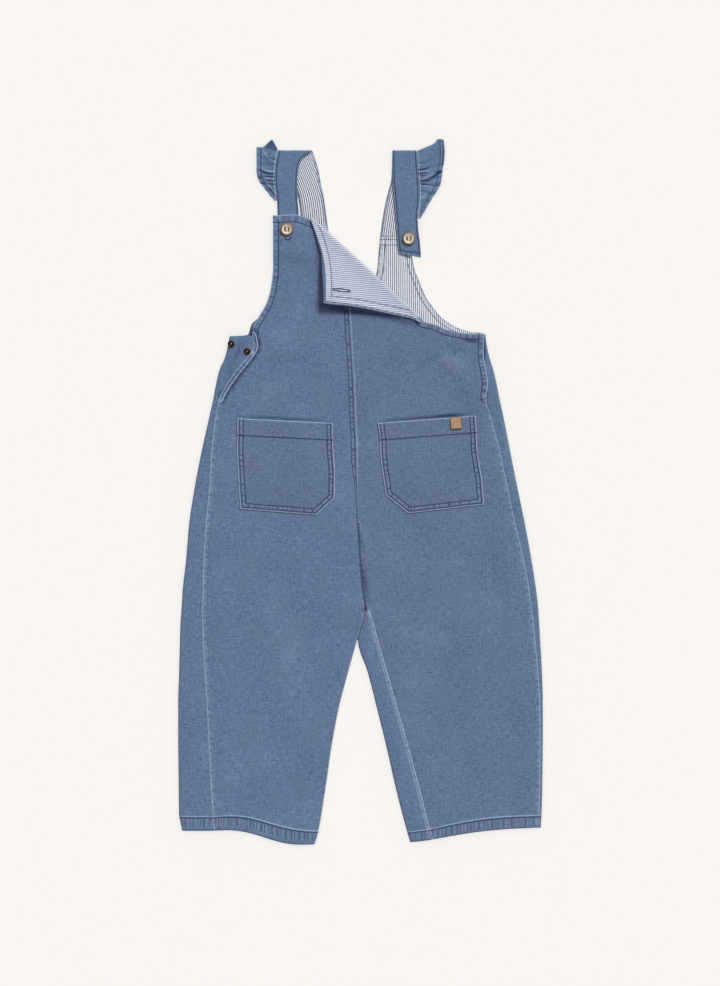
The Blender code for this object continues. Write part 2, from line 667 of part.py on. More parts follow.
def ruffle_rows(front, back, strap_front, strap_back, side, peak):
    """A ruffle's sheet: up along the strap, over the shoulder and down under itself."""
    rows = []
    for share in np.linspace(0.0, 1.0, RUFFLE_SAMPLES):
        row = along_table(front, share)
        seam_x = strap_edge(strap_front, row.seam_y, side) + side * GAP
        phase = 2 * math.pi * RUFFLE_WAVES * share
        top = STRAP_LEVEL, RUFFLE_EDGE_LEVEL
        rows.append(ruffle_points(row, seam_x, *top, RUFFLE_WAVE, phase))
    over = rows[-1]
    dx, dy = over[-1].x - over[0].x, over[-1].y - over[0].y
    out_x, out_y = -dy * side / math.hypot(dx, dy), dx * side / math.hypot(dx, dy)
    for angle in np.radians(np.linspace(0.0, 180.0, ARC_STEPS + 1))[1:-1]:
        points = []
        for share, point in zip(RUFFLE_COLUMNS, over):
            radius = (point.z - RUFFLE_UNDER_LEVEL) / 2
            out = (radius + peak * max(0.0, 1.0 - abs(share - 0.37) / 0.35)) * math.sin(angle)
            level = RUFFLE_UNDER_LEVEL + radius * (1.0 + math.cos(angle))
            x = side * max(side * (point.x + out_x * out), side * over[0].x)
            points.append(Point(x, point.y + out_y * out, level, point.turned))
        rows.append(points)
    for share in np.linspace(0.0, 1.0, RUFFLE_BACK_SAMPLES):
        row = along_table(back, share)
        seam_x = strap_edge(strap_back, row.seam_y, side) + side * GAP
        if share == 0.0:
            seam_x = over[0].x
        phase = math.pi * RUFFLE_WAVES * share
        under = RUFFLE_UNDER_LEVEL, RUFFLE_UNDER_LEVEL
        rows.append(ruffle_points(row, seam_x, *under, RUFFLE_BACK_WAVE, phase))
    return rows


# ------------------------------------------------------------------ pockets


def pocket_rows(rows, spans):
    """A patch pocket's sheet, moved out from the front that it is sewn to."""
    mouth, band_end = rows[:2]
    sections = [(mouth, 1.0), (mix(mouth, band_end, 1.0 - HEM_STEP), 1.0)]
    sections += [(row, 0.0) for row in rows[1:]]
    sheet = []
    for row, turned in sections:
        wall = DENIM + (POCKET_BAND - DENIM) * turned
        points = []
        for share in POCKET_COLUMNS:
            x = row.left_x + (row.right_x - row.left_x) * share
            y = row.left_y + (row.right_y - row.left_y) * share
            level = front_level(spans, x, y) + DENIM / 2 + POCKET_RISE + wall / 2
            points.append(Point(x, y, level, turned))
        sheet.append(points)
    return sheet


# ------------------------------------------------------------------ making meshes


def finish(name, colour, roughness, metallic=0.0):
    """A plain material."""
    material = bpy.data.materials.new(name)
    material.use_nodes = True
    shader = material.node_tree.nodes["Principled BSDF"]
    shader.inputs["Base Color"].default_value = (*colour, 1.0)
    shader.inputs["Roughness"].default_value = roughness
    shader.inputs["Metallic"].default_value = metallic
    return material


class Garment:
    """The collection and the empty that carry the pieces."""

    def __init__(self, name):
        self.collection = bpy.data.collections.new(name)
        self.cutters = bpy.data.collections.new(name + "_cutters")
        bpy.context.scene.collection.children.link(self.collection)
        bpy.context.scene.collection.children.link(self.cutters)
        self.middle = bpy.data.objects.new(name + "_middle", None)
        self.middle.location = (0.0, -GARMENT_LENGTH / 2 * MM, 0.0)
        self.collection.objects.link(self.middle)

    def add(self, name, mesh, material):
        """A named piece on the empty."""
        item = bpy.data.objects.new(name, mesh)
        mesh.materials.append(material)
        item.parent = self.middle
        self.collection.objects.link(item)
        return item

    def cloth(self, name, patches, material, wall, single=None, outer_face=False):
        """A walled piece of cloth from sheets of points that share their meeting rows."""
        shape = bmesh.new()
        weights = shape.verts.layers.deform.verify()
        for rows in patches:
            grid = []
            for row in rows:
                grid.append([shape.verts.new((p.x * MM, p.y * MM, p.z * MM)) for p in row])
                for vertex, point in zip(grid[-1], row):
                    vertex[weights][0] = point.turned
            for upper, lower in zip(grid, grid[1:]):
                for a, b, c, d in zip(upper, upper[1:], lower[1:], lower):
                    shape.faces.new((a, b, c, d))
        bmesh.ops.remove_doubles(shape, verts=shape.verts, dist=0.01 * MM)
        bmesh.ops.recalc_face_normals(shape, faces=shape.faces)
        shape.faces.ensure_lookup_table()
        if outer_face and shape.faces[0].normal.z > 0.0:
            bmesh.ops.reverse_faces(shape, faces=shape.faces)
        mesh = bpy.data.meshes.new(name)
        shape.to_mesh(mesh)
        shape.free()
        mesh.shade_smooth()
        item = self.add(name, mesh, material)
        item.vertex_groups.new(name="turned double")
        solid = item.modifiers.new("wall", "SOLIDIFY")
        solid.thickness = wall * MM
        solid.offset = -1.0 if outer_face else 0.0
        solid.use_even_offset = True
        solid.use_quality_normals = True
        if single:
            solid.vertex_group = "turned double"
            solid.thickness_vertex_group = single / wall
        return item

    def turned(self, name, profile, place, material, steps=32):
        """A round trim from half of its section, turned about its upright axis."""
        mesh = bpy.data.meshes.new(name)
        edges = [(i, i + 1) for i in range(len(profile) - 1)]
        mesh.from_pydata([(x * MM, 0.0, z * MM) for x, z in profile], edges, [])
        item = self.add(name, mesh, material)
        item.location = [value * MM for value in place]
        screw = item.modifiers.new("turn", "SCREW")
        screw.steps = steps
        screw.render_steps = steps
        screw.use_merge_vertices = True
        screw.merge_threshold = 0.0001
        screw.use_normal_calculate = True
        return item


def strap_button(garment, name, place, material):
    """A button with a raised rim, a dished middle and two slots."""
    radius, height, rim = STRAP_BUTTON_RADIUS, STRAP_BUTTON_HEIGHT, STRAP_BUTTON_RIM
    dish = height * 0.6
    profile = (
        (0.0, dish),
        (radius - 2 * rim, dish),
        (radius - 1.5 * rim, height),
        (radius - 0.5 * rim, height),
        (radius, height * 0.65),
        (radius, height * 0.3),
        (radius - 0.6, 0.0),
        (0.0, 0.0),
    )
    button = garment.turned(name, profile, place, material)
    for side in (LEFT, RIGHT):
        bpy.ops.mesh.primitive_cube_add(size=1.0)
        slot = bpy.context.object
        slot.name = f"{name}_slot_{'left' if side == LEFT else 'right'}"
        slot.data.transform(scale_matrix(*BUTTON_SLOT, height * 3))
        slot.parent = garment.middle
        slot.location = [value * MM for value in place]
        slot.location.x += side * BUTTON_SLOT_OFFSET * MM
        bpy.context.collection.objects.unlink(slot)
        garment.cutters.objects.link(slot)
        slot.hide_render = True
        slot.display_type = "WIRE"
        cut = button.modifiers.new(slot.name, "BOOLEAN")
        cut.object = slot
        cut.operation = "DIFFERENCE"
        cut.solver = "EXACT"
    return button


def scale_matrix(x, y, z):
    """Scales a unit primitive to millimetre sizes."""
    return Matrix.Diagonal((x * MM, y * MM, z * MM, 1.0))


def side_snap(garment, name, place, material):
    """A domed press snap with a rolled edge and a small nib."""
    radius, height = SIDE_SNAP_RADIUS, SIDE_SNAP_HEIGHT
    profile = (
        (0.0, height),
        (radius * 0.3, height * 0.92),
        (radius * 0.38, height * 0.6),
        (radius * 0.72, height * 0.55),
        (radius * 0.85, height * 0.75),
        (radius, height * 0.45),
        (radius, height * 0.15),
        (radius - 0.3, 0.0),
        (0.0, 0.0),
    )
    return garment.turned(name, profile, place, material, steps=24)


def label_rows(spans):
    """The label's sheet, moved out from the pocket band that it is sewn to."""
    width, depth, thick = LABEL_SIZE
    turn = math.radians(LABEL_TURN)
    rows = []
    for down in LABEL_COLUMNS:
        points = []
        for across in LABEL_COLUMNS:
            x = LABEL_CENTRE[0] + across * width * math.cos(turn) + down * depth * math.sin(turn)
            y = LABEL_CENTRE[1] + across * width * math.sin(turn) - down * depth * math.cos(turn)
            on_front = front_level(spans, x, y) + DENIM / 2
            points.append(Point(x, y, on_front + POCKET_RISE + POCKET_BAND + GAP + thick / 2))
        rows.append(points)
    return rows


def main():
    """Clears the scene and builds every piece."""
    for item in list(bpy.data.objects):
        bpy.data.objects.remove(item, do_unlink=True)
    garment = Garment("kids_dungarees")

    denim = finish("washed_denim", (0.122, 0.178, 0.292), 0.85)
    denim_back = finish("washed_denim_back", (0.130, 0.190, 0.305), 0.85)
    ruffle_denim = finish("washed_denim_ruffle", (0.133, 0.202, 0.323), 0.85)
    ticking = finish("striped_ticking", (0.42, 0.47, 0.57), 0.8)
    horn = finish("horn", (0.54, 0.43, 0.37), 0.35)
    brass = finish("antique_brass", (0.36, 0.31, 0.22), 0.4, 1.0)
    leather = finish("tan_leather", (0.40, 0.26, 0.19), 0.6)

    left_spans = front_spans(LEFT_BIB, LEFT_BODY, LEFT)
    right_spans = front_spans(RIGHT_BIB, RIGHT_BODY, RIGHT)
    body = {"wall": LEG_HEM, "single": DENIM}

    left_front = front_patches(LEFT_BIB, LEFT_BODY, LEFT)
    right_front = front_patches(RIGHT_BIB, RIGHT_BODY, RIGHT)
    garment.cloth("front_left", left_front, denim, **body)
    garment.cloth("front_right", right_front, denim, **body)

    left_back = back_patches(LEFT_BACK, LEFT_BODY, LEFT)
    right_back = back_patches(RIGHT_BACK, RIGHT_BODY, RIGHT)
    garment.cloth("back_left", left_back, denim_back, outer_face=True, **body)
    garment.cloth("back_right", right_back, denim_back, outer_face=True, **body)

    garment.cloth("bib_facing", facing_on_flap(), ticking, TICKING)
    garment.cloth("back_facing", back_facing_patches(), ticking, TICKING)

    straps = (
        ("left", LEFT, LEFT_STRAP_FRONT, LEFT_STRAP_BACK),
        ("right", RIGHT, RIGHT_STRAP_FRONT, RIGHT_STRAP_BACK),
    )
    for name, _, front, back in straps:
        garment.cloth(f"strap_{name}", [strap_rows(front, back, 0.0, 0.0)], denim_back, DENIM)
        garment.cloth(f"strap_lining_{name}", [lining_rows(front, back)], ticking, TICKING)

    ruffles = {
        "left": (LEFT_RUFFLE_FRONT, LEFT_RUFFLE_BACK, LEFT_RUFFLE_PEAK),
        "right": (RIGHT_RUFFLE_FRONT, RIGHT_RUFFLE_BACK, 0.0),
    }
    for name, side, strap_front, strap_back in straps:
        front, back, peak = ruffles[name]
        rows = ruffle_rows(front, back, strap_front, strap_back, side, peak)
        ruffle = {"wall": RUFFLE_HEM, "single": DENIM}
        garment.cloth(f"ruffle_{name}", [rows], ruffle_denim, **ruffle)

    pocket = {"wall": POCKET_BAND, "single": DENIM}
    garment.cloth("pocket_left", [pocket_rows(LEFT_POCKET, left_spans)], denim, **pocket)
    garment.cloth("pocket_right", [pocket_rows(RIGHT_POCKET, right_spans)], denim, **pocket)
    garment.cloth("pocket_label", [label_rows(right_spans)], leather, LABEL_SIZE[2])

    on_bib = BIB_OVER_STRAP + DENIM / 2 + GAP
    on_strap = STRAP_LEVEL + DENIM / 2 + GAP
    strap_button(garment, "strap_button_left", (*LEFT_BUTTON, on_bib), horn)
    strap_button(garment, "strap_button_right", (*RIGHT_BUTTON, on_strap), horn)
    side_snap(garment, "side_snap_outer", (*OUTER_SNAP, FOLD_TOP + GAP), brass)
    side_snap(garment, "side_snap_inner", (*INNER_SNAP, FOLD_TOP + GAP), brass)


main()
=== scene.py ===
"""Dresses the kids dungarees: worn denim with its sewing, striped facings, trims, floor and light.

Sizes are millimetres on the garment laid flat: x from its middle, y up from the lowest point
of the hem, z up from the surface. They are turned to metres where a mesh is made.
"""

import logging
import math
from dataclasses import dataclass, field
from enum import Enum
from typing import Any, NamedTuple, Sequence

import bmesh
import bpy
import numpy as np
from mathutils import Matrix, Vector
from mathutils.bvhtree import BVHTree


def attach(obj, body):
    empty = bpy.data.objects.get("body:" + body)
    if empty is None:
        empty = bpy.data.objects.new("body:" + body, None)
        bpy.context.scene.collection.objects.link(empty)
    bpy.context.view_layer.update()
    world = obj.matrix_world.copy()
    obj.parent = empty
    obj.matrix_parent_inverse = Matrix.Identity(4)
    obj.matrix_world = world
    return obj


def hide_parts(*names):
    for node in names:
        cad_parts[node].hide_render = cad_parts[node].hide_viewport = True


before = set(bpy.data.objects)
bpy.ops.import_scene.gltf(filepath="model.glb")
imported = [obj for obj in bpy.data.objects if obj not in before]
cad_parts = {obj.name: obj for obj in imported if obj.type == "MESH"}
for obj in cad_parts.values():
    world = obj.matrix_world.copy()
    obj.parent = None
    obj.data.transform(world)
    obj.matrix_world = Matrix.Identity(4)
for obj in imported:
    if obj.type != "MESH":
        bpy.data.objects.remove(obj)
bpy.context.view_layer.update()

LOG = logging.getLogger("dungarees")

MM = 0.001
GARMENT_LENGTH = 811.5
LEFT = -1.0
RIGHT = 1.0

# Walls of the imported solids, which the cloth here keeps
DENIM = 1.2
LEG_HEM = 2.4
POCKET_BAND = 2.0
RUFFLE_HEM = 1.8
TICKING = 1.0
GAP = 0.3

# Folds and levels, as the solids have them
FOLD_OUTER_RADIUS = 2.6
FOLD_TOP = 2 * FOLD_OUTER_RADIUS
PLACKET_RISE = DENIM + GAP
PLACKET_START = 0.2
SETTLE = 45.0
FACING_LEVEL = DENIM + GAP + TICKING / 2
BIB_LEVEL = DENIM + GAP + TICKING + GAP + DENIM / 2
TURN_LEVEL = 4.4
TURN_RADIUS = 1.6
TURN_START = (-57.3, 719.0)
TURN_END = (70.0, 602.2)
FLAP_LEVEL = 7.2
FLAP_SETTLE = 30.0
FLAP_FACING_RISE = DENIM / 2 + GAP + TICKING / 2
BACK_FACING_END = 577.0
STRAP_RADIUS = 2.1
STRAP_LEVEL = DENIM / 2 + 2 * STRAP_RADIUS
LINING_INSET = 1.0
BIB_OVER_STRAP = STRAP_LEVEL + DENIM + GAP
STRAP_UNDER_BIB = (-98.0, -66.0, 685.0)  # its left, right and lower edge
STRAP_SETTLE = 20.0
POCKET_BAND_DEPTH = 20.0

# How finely cloth is divided
ROW_CELL = 2.1
COLUMN_CELL = 2.9
BACK_CELL = 3.2
FACING_CELL = 2.0
TRIM_CELL = 1.4
POCKET_CELL = 1.8
LABEL_CELL = 0.8
PANEL_WIDTH = 190.0
FACING_WIDTH = 110.0
STRAP_WIDTH = 26.0
POCKET_WIDTH = 111.0
BACK_COLUMNS = 56
FLAP_COLUMNS = 34
FACING_COLUMNS = 60
RUFFLE_COLUMNS = 22
STRAP_FOLD_STEPS = 12
RUFFLE_FOLD_STEPS = 14
TURN_STEPS = 10
LINE_STEPS = 40
EDGE_STEPS = (0.7, 1.6, 2.8, 4.2, 5.8)
FAR = 99.0

# Rows of the tables that mean something
LEFT_TURNED = 4  # bib rows with the turned corner on them
RIGHT_TURNED = 6
NECK_ROWS = 7  # back rows that end on the neckline
PLACKET_ROWS = 5  # body rows down to where the side opening ends
FORK_START = 9  # the body row where the centre front seam turns into a plain one
LEG_START = 13
HEM_TOP = -3
POCKET_CORNER = 5

# How the cloth is dressed over the solids' levels
HEM_STEP = 0.08
HEM_SEWN = 1.7  # the hem's row of stitches, below its fold
FREE = (3.0, 24.0)  # how far from its seams a front starts to lift, and is free
AIR = 0.8  # under the free part
TOP_BAND = 8.2  # depth of the turned band along the top of the bib
CORNER_SPRING = 10.0  # the stiff corner stands off the bib at its free edge
CORNER_SPRINGS = (4.0, 60.0)  # how far from its fold it starts to, and does
CORNER_UNEVEN = (3.0, 30.0)
CORNER_SEED = 71
FACING_ROLL = 35.0
ROLL_PUFF = 0.8
UNDERARM = 612.0  # below it the back facing stays out of sight on the left
UNDERARM_INSET = 8.0
UNDERARM_REACH = 12.0
POCKET_PUFF = 0.5
POCKET_GAPE = 0.6
POCKET_CUT_AT = 300.0  # sets the pockets' weave off from the fronts'
LABEL_SEWN = 1.9  # its row of stitches, inside its edge
STRAP_CROWN = 0.35
FORK_GAP_SHADE_LEVEL = 2.2  # the dark thread laid in the gap at the fork of the legs, standing in for the shade there
CORNER_WEAR = 0.5
RUFFLE_WAVE = 1.1
RUFFLE_WAVES = 8
RUFFLE_BACK_WAVE = 0.3
RUFFLE_EDGE_LEVEL = 3.9
RUFFLE_UNDER_LEVEL = RUFFLE_HEM / 2 + RUFFLE_BACK_WAVE
RUFFLE_FULLNESS = 1.25
LEFT_RUFFLE_PEAK = 11.3  # the left one's fold stands up in a point
PEAK_AT = 0.37
PEAK_WIDTH = 0.35
RUFFLE_HEM_AT = 0.62  # share of the way out where its hem's turning ends

Grid = np.ndarray
Item = bpy.types.Object
Finish = bpy.types.Material


# ------------------------------------------------------------------ tables


def rows_of(kind: type, *rows: tuple) -> tuple:
    """A table of rows of a kind."""
    return tuple(kind(*row) for row in rows)


def turn_y(x: Any) -> Any:
    """Height of the line that the bib corner turns on, at any x."""
    slope = (TURN_END[1] - TURN_START[1]) / (TURN_END[0] - TURN_START[0])
    return TURN_START[1] + (x - TURN_START[0]) * slope


class BodyRow(NamedTuple):
    """A section across one half of the body, from its side to the middle or the inner leg."""

    side_y: float
    side_x: float
    seam_x: float
    inner_y: float
    front_x: float
    back_x: float
    lap: float = 0.0
    floor: float = DENIM
    rise: float = 0.0
    bow: float = 0.0
    wave: float = 0.0


LEFT_BODY = rows_of(
    BodyRow,
    (585.5, -150.5, -124.5, 583.5, -10.5, -6.5, 11, 2.5),
    (574.5, -152.5, -122.5, 573.5, -9.8, -6, 10, 2.5),
    (562, -155.5, -129.5, 560.5, -9, -5.5, 10, 2),
    (547, -162, -141.5, 545.5, -8, -5, 9),
    (530.5, -166, -153.5, 529.5, -7.3, -4.5, 6),
    (514.5, -169, -162, 513.5, -6.6, -4, 0.2),
    (494, -173.5, -166, 494, -5.8, -3),
    (456, -182, -171, 456, -4.2, -1.5),
    (418, -189.5, -173, 418, -3.6, -0.5),
    (369.5, -197, -177.5, 369.5, -2.5, 1.5),
    (328.5, -200.5, -180, 328.5, 0, 3),
    (292.5, -204.5, -181, 292.5, 3, 4.5, 0, 1.2, 0.2),
    (275.5, -205.5, -181.5, 275.5, 6, 5, 0, 1.2, 0.4),
    (268.5, -206, -181.5, 268.5, 4.5, 4.5, 0, 1.2, 0.4),
    (253.5, -207, -181.5, 253.5, 0.5, 0.5, 0, 1.2, 0.2),
    (236.5, -207.5, -181, 236.5, -4, -4),
    (199.5, -208.5, -179, 198.5, -14.5, -14.5),
    (164, -209.5, -176.5, 158, -25, -25),
    (121.5, -209.5, -174.5, 115.5, -33, -33),
    (75.5, -209, -172, 67.5, -40, -40),
    (34, -208.5, -169.5, 17, -48.5, -48.5, 0, 2.4, 0, 2.5, 3),
    (17.5, -205, -168.5, 2, -52.5, -52.5, 0, 2.4, 0, 0, 3.5),
)
RIGHT_BODY = rows_of(
    BodyRow,
    (587.5, 143.5, 142.5, 583.5, -10.5, -6.5, 10, 2.5),
    (575.5, 145, 141.5, 573.5, -9.8, -6, 10, 2.5),
    (562, 148, 141.5, 560.5, -9, -5.5, 10, 2),
    (547, 152.5, 144, 545.5, -8, -5, 10),
    (530.5, 156.5, 146, 529.5, -7.3, -4.5, 8),
    (514.5, 159.5, 144.5, 513.5, -6.6, -4, 0.2),
    (494, 164, 149.5, 494, -5.8, -3),
    (456, 171.5, 159.5, 456, -4.2, -1.5),
    (418, 179, 167.5, 418, -3.6, -0.5),
    (369.5, 189, 178, 369.5, -2.5, 1.5),
    (328.5, 196.5, 187.5, 328.5, 0, 3),
    (292.5, 202, 194, 292.5, 3, 4.5, 0, 1.2, 0.2),
    (275.5, 204, 196, 275.5, 6, 5, 0, 1.2, 0.6),
    (268.5, 204.5, 197, 268.5, 8, 5, 0, 1.2, 1),
    (253.5, 205.5, 199, 253.5, 12.5, 1, 0, 1.2, 1),
    (236.5, 206.5, 200.5, 236.5, 17, -3, 0, 1.2, 1),
    (199.5, 208.5, 204, 198.5, 28, 8.5, 0, 1.2, 1),
    (164, 209.5, 206, 158, 39.5, 19, 0, 1.2, 1),
    (121.5, 209.5, 206.5, 115.5, 51.5, 29.5, 0, 1.2, 1),
    (75.5, 209, 206, 67.5, 64.5, 40.5, 0, 1.2, 1),
    (35.5, 208, 205, 19, 77, 53.5, 0, 2.4, 1, 4),
    (21, 207, 204, 7, 81, 57, 0, 2.4, 1, 3),
)


class BibRow(NamedTuple):
    """A section across one half of the bib."""

    outer_y: float
    outer_x: float
    inner_y: float
    inner_x: float
    outer_level: float
    inner_level: float
    bow: float = 0.0
    flap_x: float = 0.0
    flap_y: float = 0.0
    wave: float = 0.0


LEFT_BIB = rows_of(
    BibRow,
    (724, -100.5, 719, -57.3, BIB_LEVEL, TURN_LEVEL, 3.5, -45, 679.5, -0.8),
    (713.5, -100.5, turn_y(-43), -43, BIB_LEVEL, TURN_LEVEL, 0, -34.5, 681),
    (702, -100.5, turn_y(-30), -30, BIB_LEVEL, TURN_LEVEL, 0, -26, 682),
    (689.5, -100.5, turn_y(-16.8), -16.8, BIB_LEVEL, TURN_LEVEL, 0, -18, 682.2),
    (666.5, -100.5, 666, -16.5, BIB_LEVEL, 3.8),
    (644.5, -102.5, 643.5, -16, BIB_LEVEL, BIB_LEVEL),
    (624.5, -107.5, 621.5, -13, BIB_LEVEL, BIB_LEVEL),
    (606.5, -117.5, 602, -11.6, 4.2, BIB_LEVEL),
    (594, -123.5, 591.5, -10.9, 5.6, BIB_LEVEL),
)
RIGHT_BIB = rows_of(
    BibRow,
    (turn_y(-16), -16, turn_y(-16), -16.3, TURN_LEVEL, TURN_LEVEL, 0, -16, 620),
    (turn_y(1.7), 1.7, 668, -16.5, TURN_LEVEL, 3.8, 0, 2, 617.3),
    (turn_y(23.7), 23.7, 651, -16, TURN_LEVEL, BIB_LEVEL, 0, 24, 613),
    (turn_y(46.7), 46.7, 635, -16, TURN_LEVEL, BIB_LEVEL, 0, 46, 608.5),
    (turn_y(60), 60, 622.5, -13.1, TURN_LEVEL, BIB_LEVEL, 0, 59, 605.5),
    (TURN_END[1], TURN_END[0], 614, -12.5, TURN_LEVEL, BIB_LEVEL, 0, 68.8, 600.8),
    (598, 87, 608, -12, 4, BIB_LEVEL),
    (593, 99, 602, -11.6, 3.8, BIB_LEVEL),
    (588.5, 121.5, 593, -11, 4.6, BIB_LEVEL),
)


class FlapRow(NamedTuple):
    """A section across the turned corner, from its root to its free edge."""

    root_x: float
    root_y: float
    edge_x: float
    edge_y: float
    bow: float = 0.0


# The part of the right half that starts from the centre front seam, on the turned corner
RIGHT_FLAP_AT_SEAM = rows_of(
    FlapRow,
    (-45, 679.2, -42, 622.5), (-31, 681, -29.5, 621),
)
FLAP_FACING = rows_of(
    FlapRow,
    (-57.3, 719, -40, 624.5, 6.5), (-43, turn_y(-43), -33, 623.8, 2.5), (-30, turn_y(-30), -25.5, 623),
    (-16, turn_y(-16), -16, 622), (1.7, turn_y(1.7), 2, 619.3), (23.7, turn_y(23.7), 24, 615),
    (46.7, turn_y(46.7), 46, 610.5), (60, turn_y(60), 58.5, 607.6), (66, turn_y(66), 64.8, 604.6),
)


class BackRow(NamedTuple):
    """A section across one half of the back above the underarm."""

    y: float
    armhole_x: float
    neck_x: float


LEFT_BACK = rows_of(
    BackRow,
    (699.8, -65, -35.5), (688.5, -66, -34), (677, -68.5, -32), (664, -72, -30.5), (650.5, -76, -27.5),
    (639, -81, -23.5), (627.5, -91.5, -17), (618, -98.5, -7.5), (609, -113.5, -7), (599.5, -125, -7),
    (587, -130, -6.5),
)
RIGHT_BACK = rows_of(
    BackRow,
    (699.8, 56, 22.5), (688.5, 57, 21.5), (677, 59, 20.5), (664, 61.5, 19.5), (650.5, 66.5, 16.5),
    (639, 71, 12), (627.5, 76.5, 4), (618, 83.5, -7), (609, 91, -7), (602, 99.5, -7), (594.5, 113, -6.5),
    (590.5, 127, -6.5), (589, 140.5, -6.5),
)


class StrapRow(NamedTuple):
    """A section across a strap."""

    y: float
    left: float
    right: float


# Each strap from its buttoned end up to the shoulder, and from there down to the back
LEFT_STRAP_FRONT = rows_of(
    StrapRow,
    (689.5, -95, -71.5), (708, -95.5, -71), (726, -95.5, -71), (747, -96.5, -72.5), (765.5, -98.5, -72.5),
    (781.5, -97.5, -70.5), (791, -96, -66), (796.3, -94.5, -57.5),
)
LEFT_STRAP_BACK = rows_of(
    StrapRow,
    (796.3, -93, -54.5), (779, -84.5, -49), (757.5, -75.5, -45), (743.5, -71.3, -42), (725, -68.8, -39.5),
    (700.1, -67, -36),
)
RIGHT_STRAP_FRONT = rows_of(
    StrapRow,
    (678, 44.5, 69.5), (691.5, 43, 68.5), (706.5, 42, 66.5), (725, 40.5, 65.5), (742.5, 39, 67.5),
    (760.5, 37.5, 67), (781.5, 36.5, 65.5), (796.3, 36.5, 64.5),
)
RIGHT_STRAP_BACK = rows_of(
    StrapRow,
    (796.3, 36.5, 64.5), (767.5, 35.5, 64), (752.5, 32, 61.5), (733, 27.5, 59), (714.5, 24.5, 57),
    (700.1, 22.5, 56),
)


class RuffleRow(NamedTuple):
    """A section across a ruffle, from the strap's edge out."""

    seam_y: float
    edge_x: float
    edge_y: float
    gather: float = 0.0
    tip: float = 0.0


LEFT_RUFFLE_FRONT = rows_of(
    RuffleRow,
    (741, -98.5, 741), (749, -105, 748, 0.6), (757.5, -111.5, 757, 1), (765.5, -117, 764.5, 1),
    (774.5, -119.5, 774.5, 0.8), (785, -119.5, 786, 0.4), (797, -119.5, 801),
)
LEFT_RUFFLE_BACK = rows_of(
    RuffleRow,
    (797, -119.5, 801), (783, -114, 784, 0.6), (770, -106, 768, 1), (757, -94, 754, 0.6), (745, -75, 743),
)
RIGHT_RUFFLE_FRONT = rows_of(
    RuffleRow,
    (721, 68, 720), (728.5, 73.5, 728.5, 0.2), (742.5, 82, 743.5, 0.5), (754, 89.5, 755, 1),
    (762, 93, 764, 1), (770, 94, 775, 0.8), (778, 96, 786, 0.4), (788, 96.8, 797.5, 0.1),
    (795.5, 95.8, 809.6, 0, 3.2),
)
RIGHT_RUFFLE_BACK = rows_of(
    RuffleRow,
    (795.5, 95.8, 809.6, 0, 3.2), (782, 92.5, 792, 0.6), (768, 89, 770, 1), (754, 79, 753, 0.6),
    (740, 64, 738),
)


class PocketRow(NamedTuple):
    """A section across a patch pocket."""

    left_y: float
    left_x: float
    right_y: float
    right_x: float


LEFT_POCKET = rows_of(
    PocketRow,
    (491, -141.5, 485.5, -32), (470, -141.5, 464, -31.5), (453.5, -142, 449, -31),
    (436.5, -141, 433, -29.5), (418.5, -140, 414.5, -29.5), (401, -139, 399.5, -30), (387, -138, 380, -51),
)
RIGHT_POCKET = rows_of(
    PocketRow,
    (485.5, 20, 494, 132), (464.5, 22.5, 471, 133.5), (449, 23, 455, 134), (433, 24.5, 438.5, 136.5),
    (418, 27, 420.5, 139.5), (403, 29, 406.5, 140.5), (382, 55, 392, 142),
)


# ------------------------------------------------------------------ numbers


def part_way(start: Any, end: Any, share: Any) -> Any:
    """A value that lies a share of the way from one to another."""
    return start + (end - start) * share


def joined(*parts: Any) -> Grid:
    """Values side by side for each point, all spread to one shape."""
    return np.stack(np.broadcast_arrays(*parts), axis=-1)


def columns_of(table: Grid) -> Grid:
    """The columns of a table, each upright, to work with across a sheet."""
    return table.T[:, :, None]


def hermite(knots: Grid, values: Grid, at: Grid) -> Grid:
    """Monotone cubic through a stretch of table values.

    Args:
        knots: where the values stand, rising.
        values: one row of values for each knot.
        at: places between the first and last knot.

    Returns:
        One row of values for each place.
    """
    steps = np.diff(knots)[:, None]
    slopes = np.diff(values, axis=0) / steps
    rates = np.zeros_like(values)
    rates[0], rates[-1] = slopes[0], slopes[-1]
    if len(knots) > 2:
        before, after = slopes[:-1], slopes[1:]
        heavy, light = 2 * steps[1:] + steps[:-1], steps[1:] + 2 * steps[:-1]
        rising = before * after > 0.0
        safe_before = np.where(rising, before, 1.0)
        safe_after = np.where(rising, after, 1.0)
        mean = (heavy + light) / (heavy / safe_before + light / safe_after)
        rates[1:-1] = np.where(rising, mean, 0.0)
    place = np.clip(np.searchsorted(knots, at, side="right") - 1, 0, len(knots) - 2)
    gap = steps[place]
    t = (at - knots[place])[:, None] / gap
    start = values[place] * (1 + 2 * t) * (1 - t) ** 2 + rates[place] * gap * t * (1 - t) ** 2
    end = values[place + 1] * t**2 * (3 - 2 * t) + rates[place + 1] * gap * t**2 * (t - 1)
    return start + end


def glide(knots: Grid, values: Grid, at: Grid, corners: Sequence[int] = ()) -> Grid:
    """Follows table values smoothly and keeps the chosen knots as corners.

    Args:
        knots: where the values stand, rising.
        values: one row of values for each knot.
        at: places between the first and last knot.
        corners: indexes of knots where the line may turn sharply.

    Returns:
        One row of values for each place.
    """
    out = np.empty((len(at), values.shape[1]))
    ends = [0, *sorted(corners), len(knots) - 1]
    for first, last in zip(ends, ends[1:]):
        inside = (at >= knots[first]) & (at <= knots[last])
        stretch = slice(first, last + 1)
        out[inside] = hermite(knots[stretch], values[stretch], at[inside])
    return out


def run_of(points: Grid) -> Grid:
    """Distance along a line of points, from 0 at the first."""
    steps = np.linalg.norm(np.diff(points, axis=0), axis=1)
    return np.concatenate(([0.0], np.cumsum(np.maximum(steps, 1e-4))))


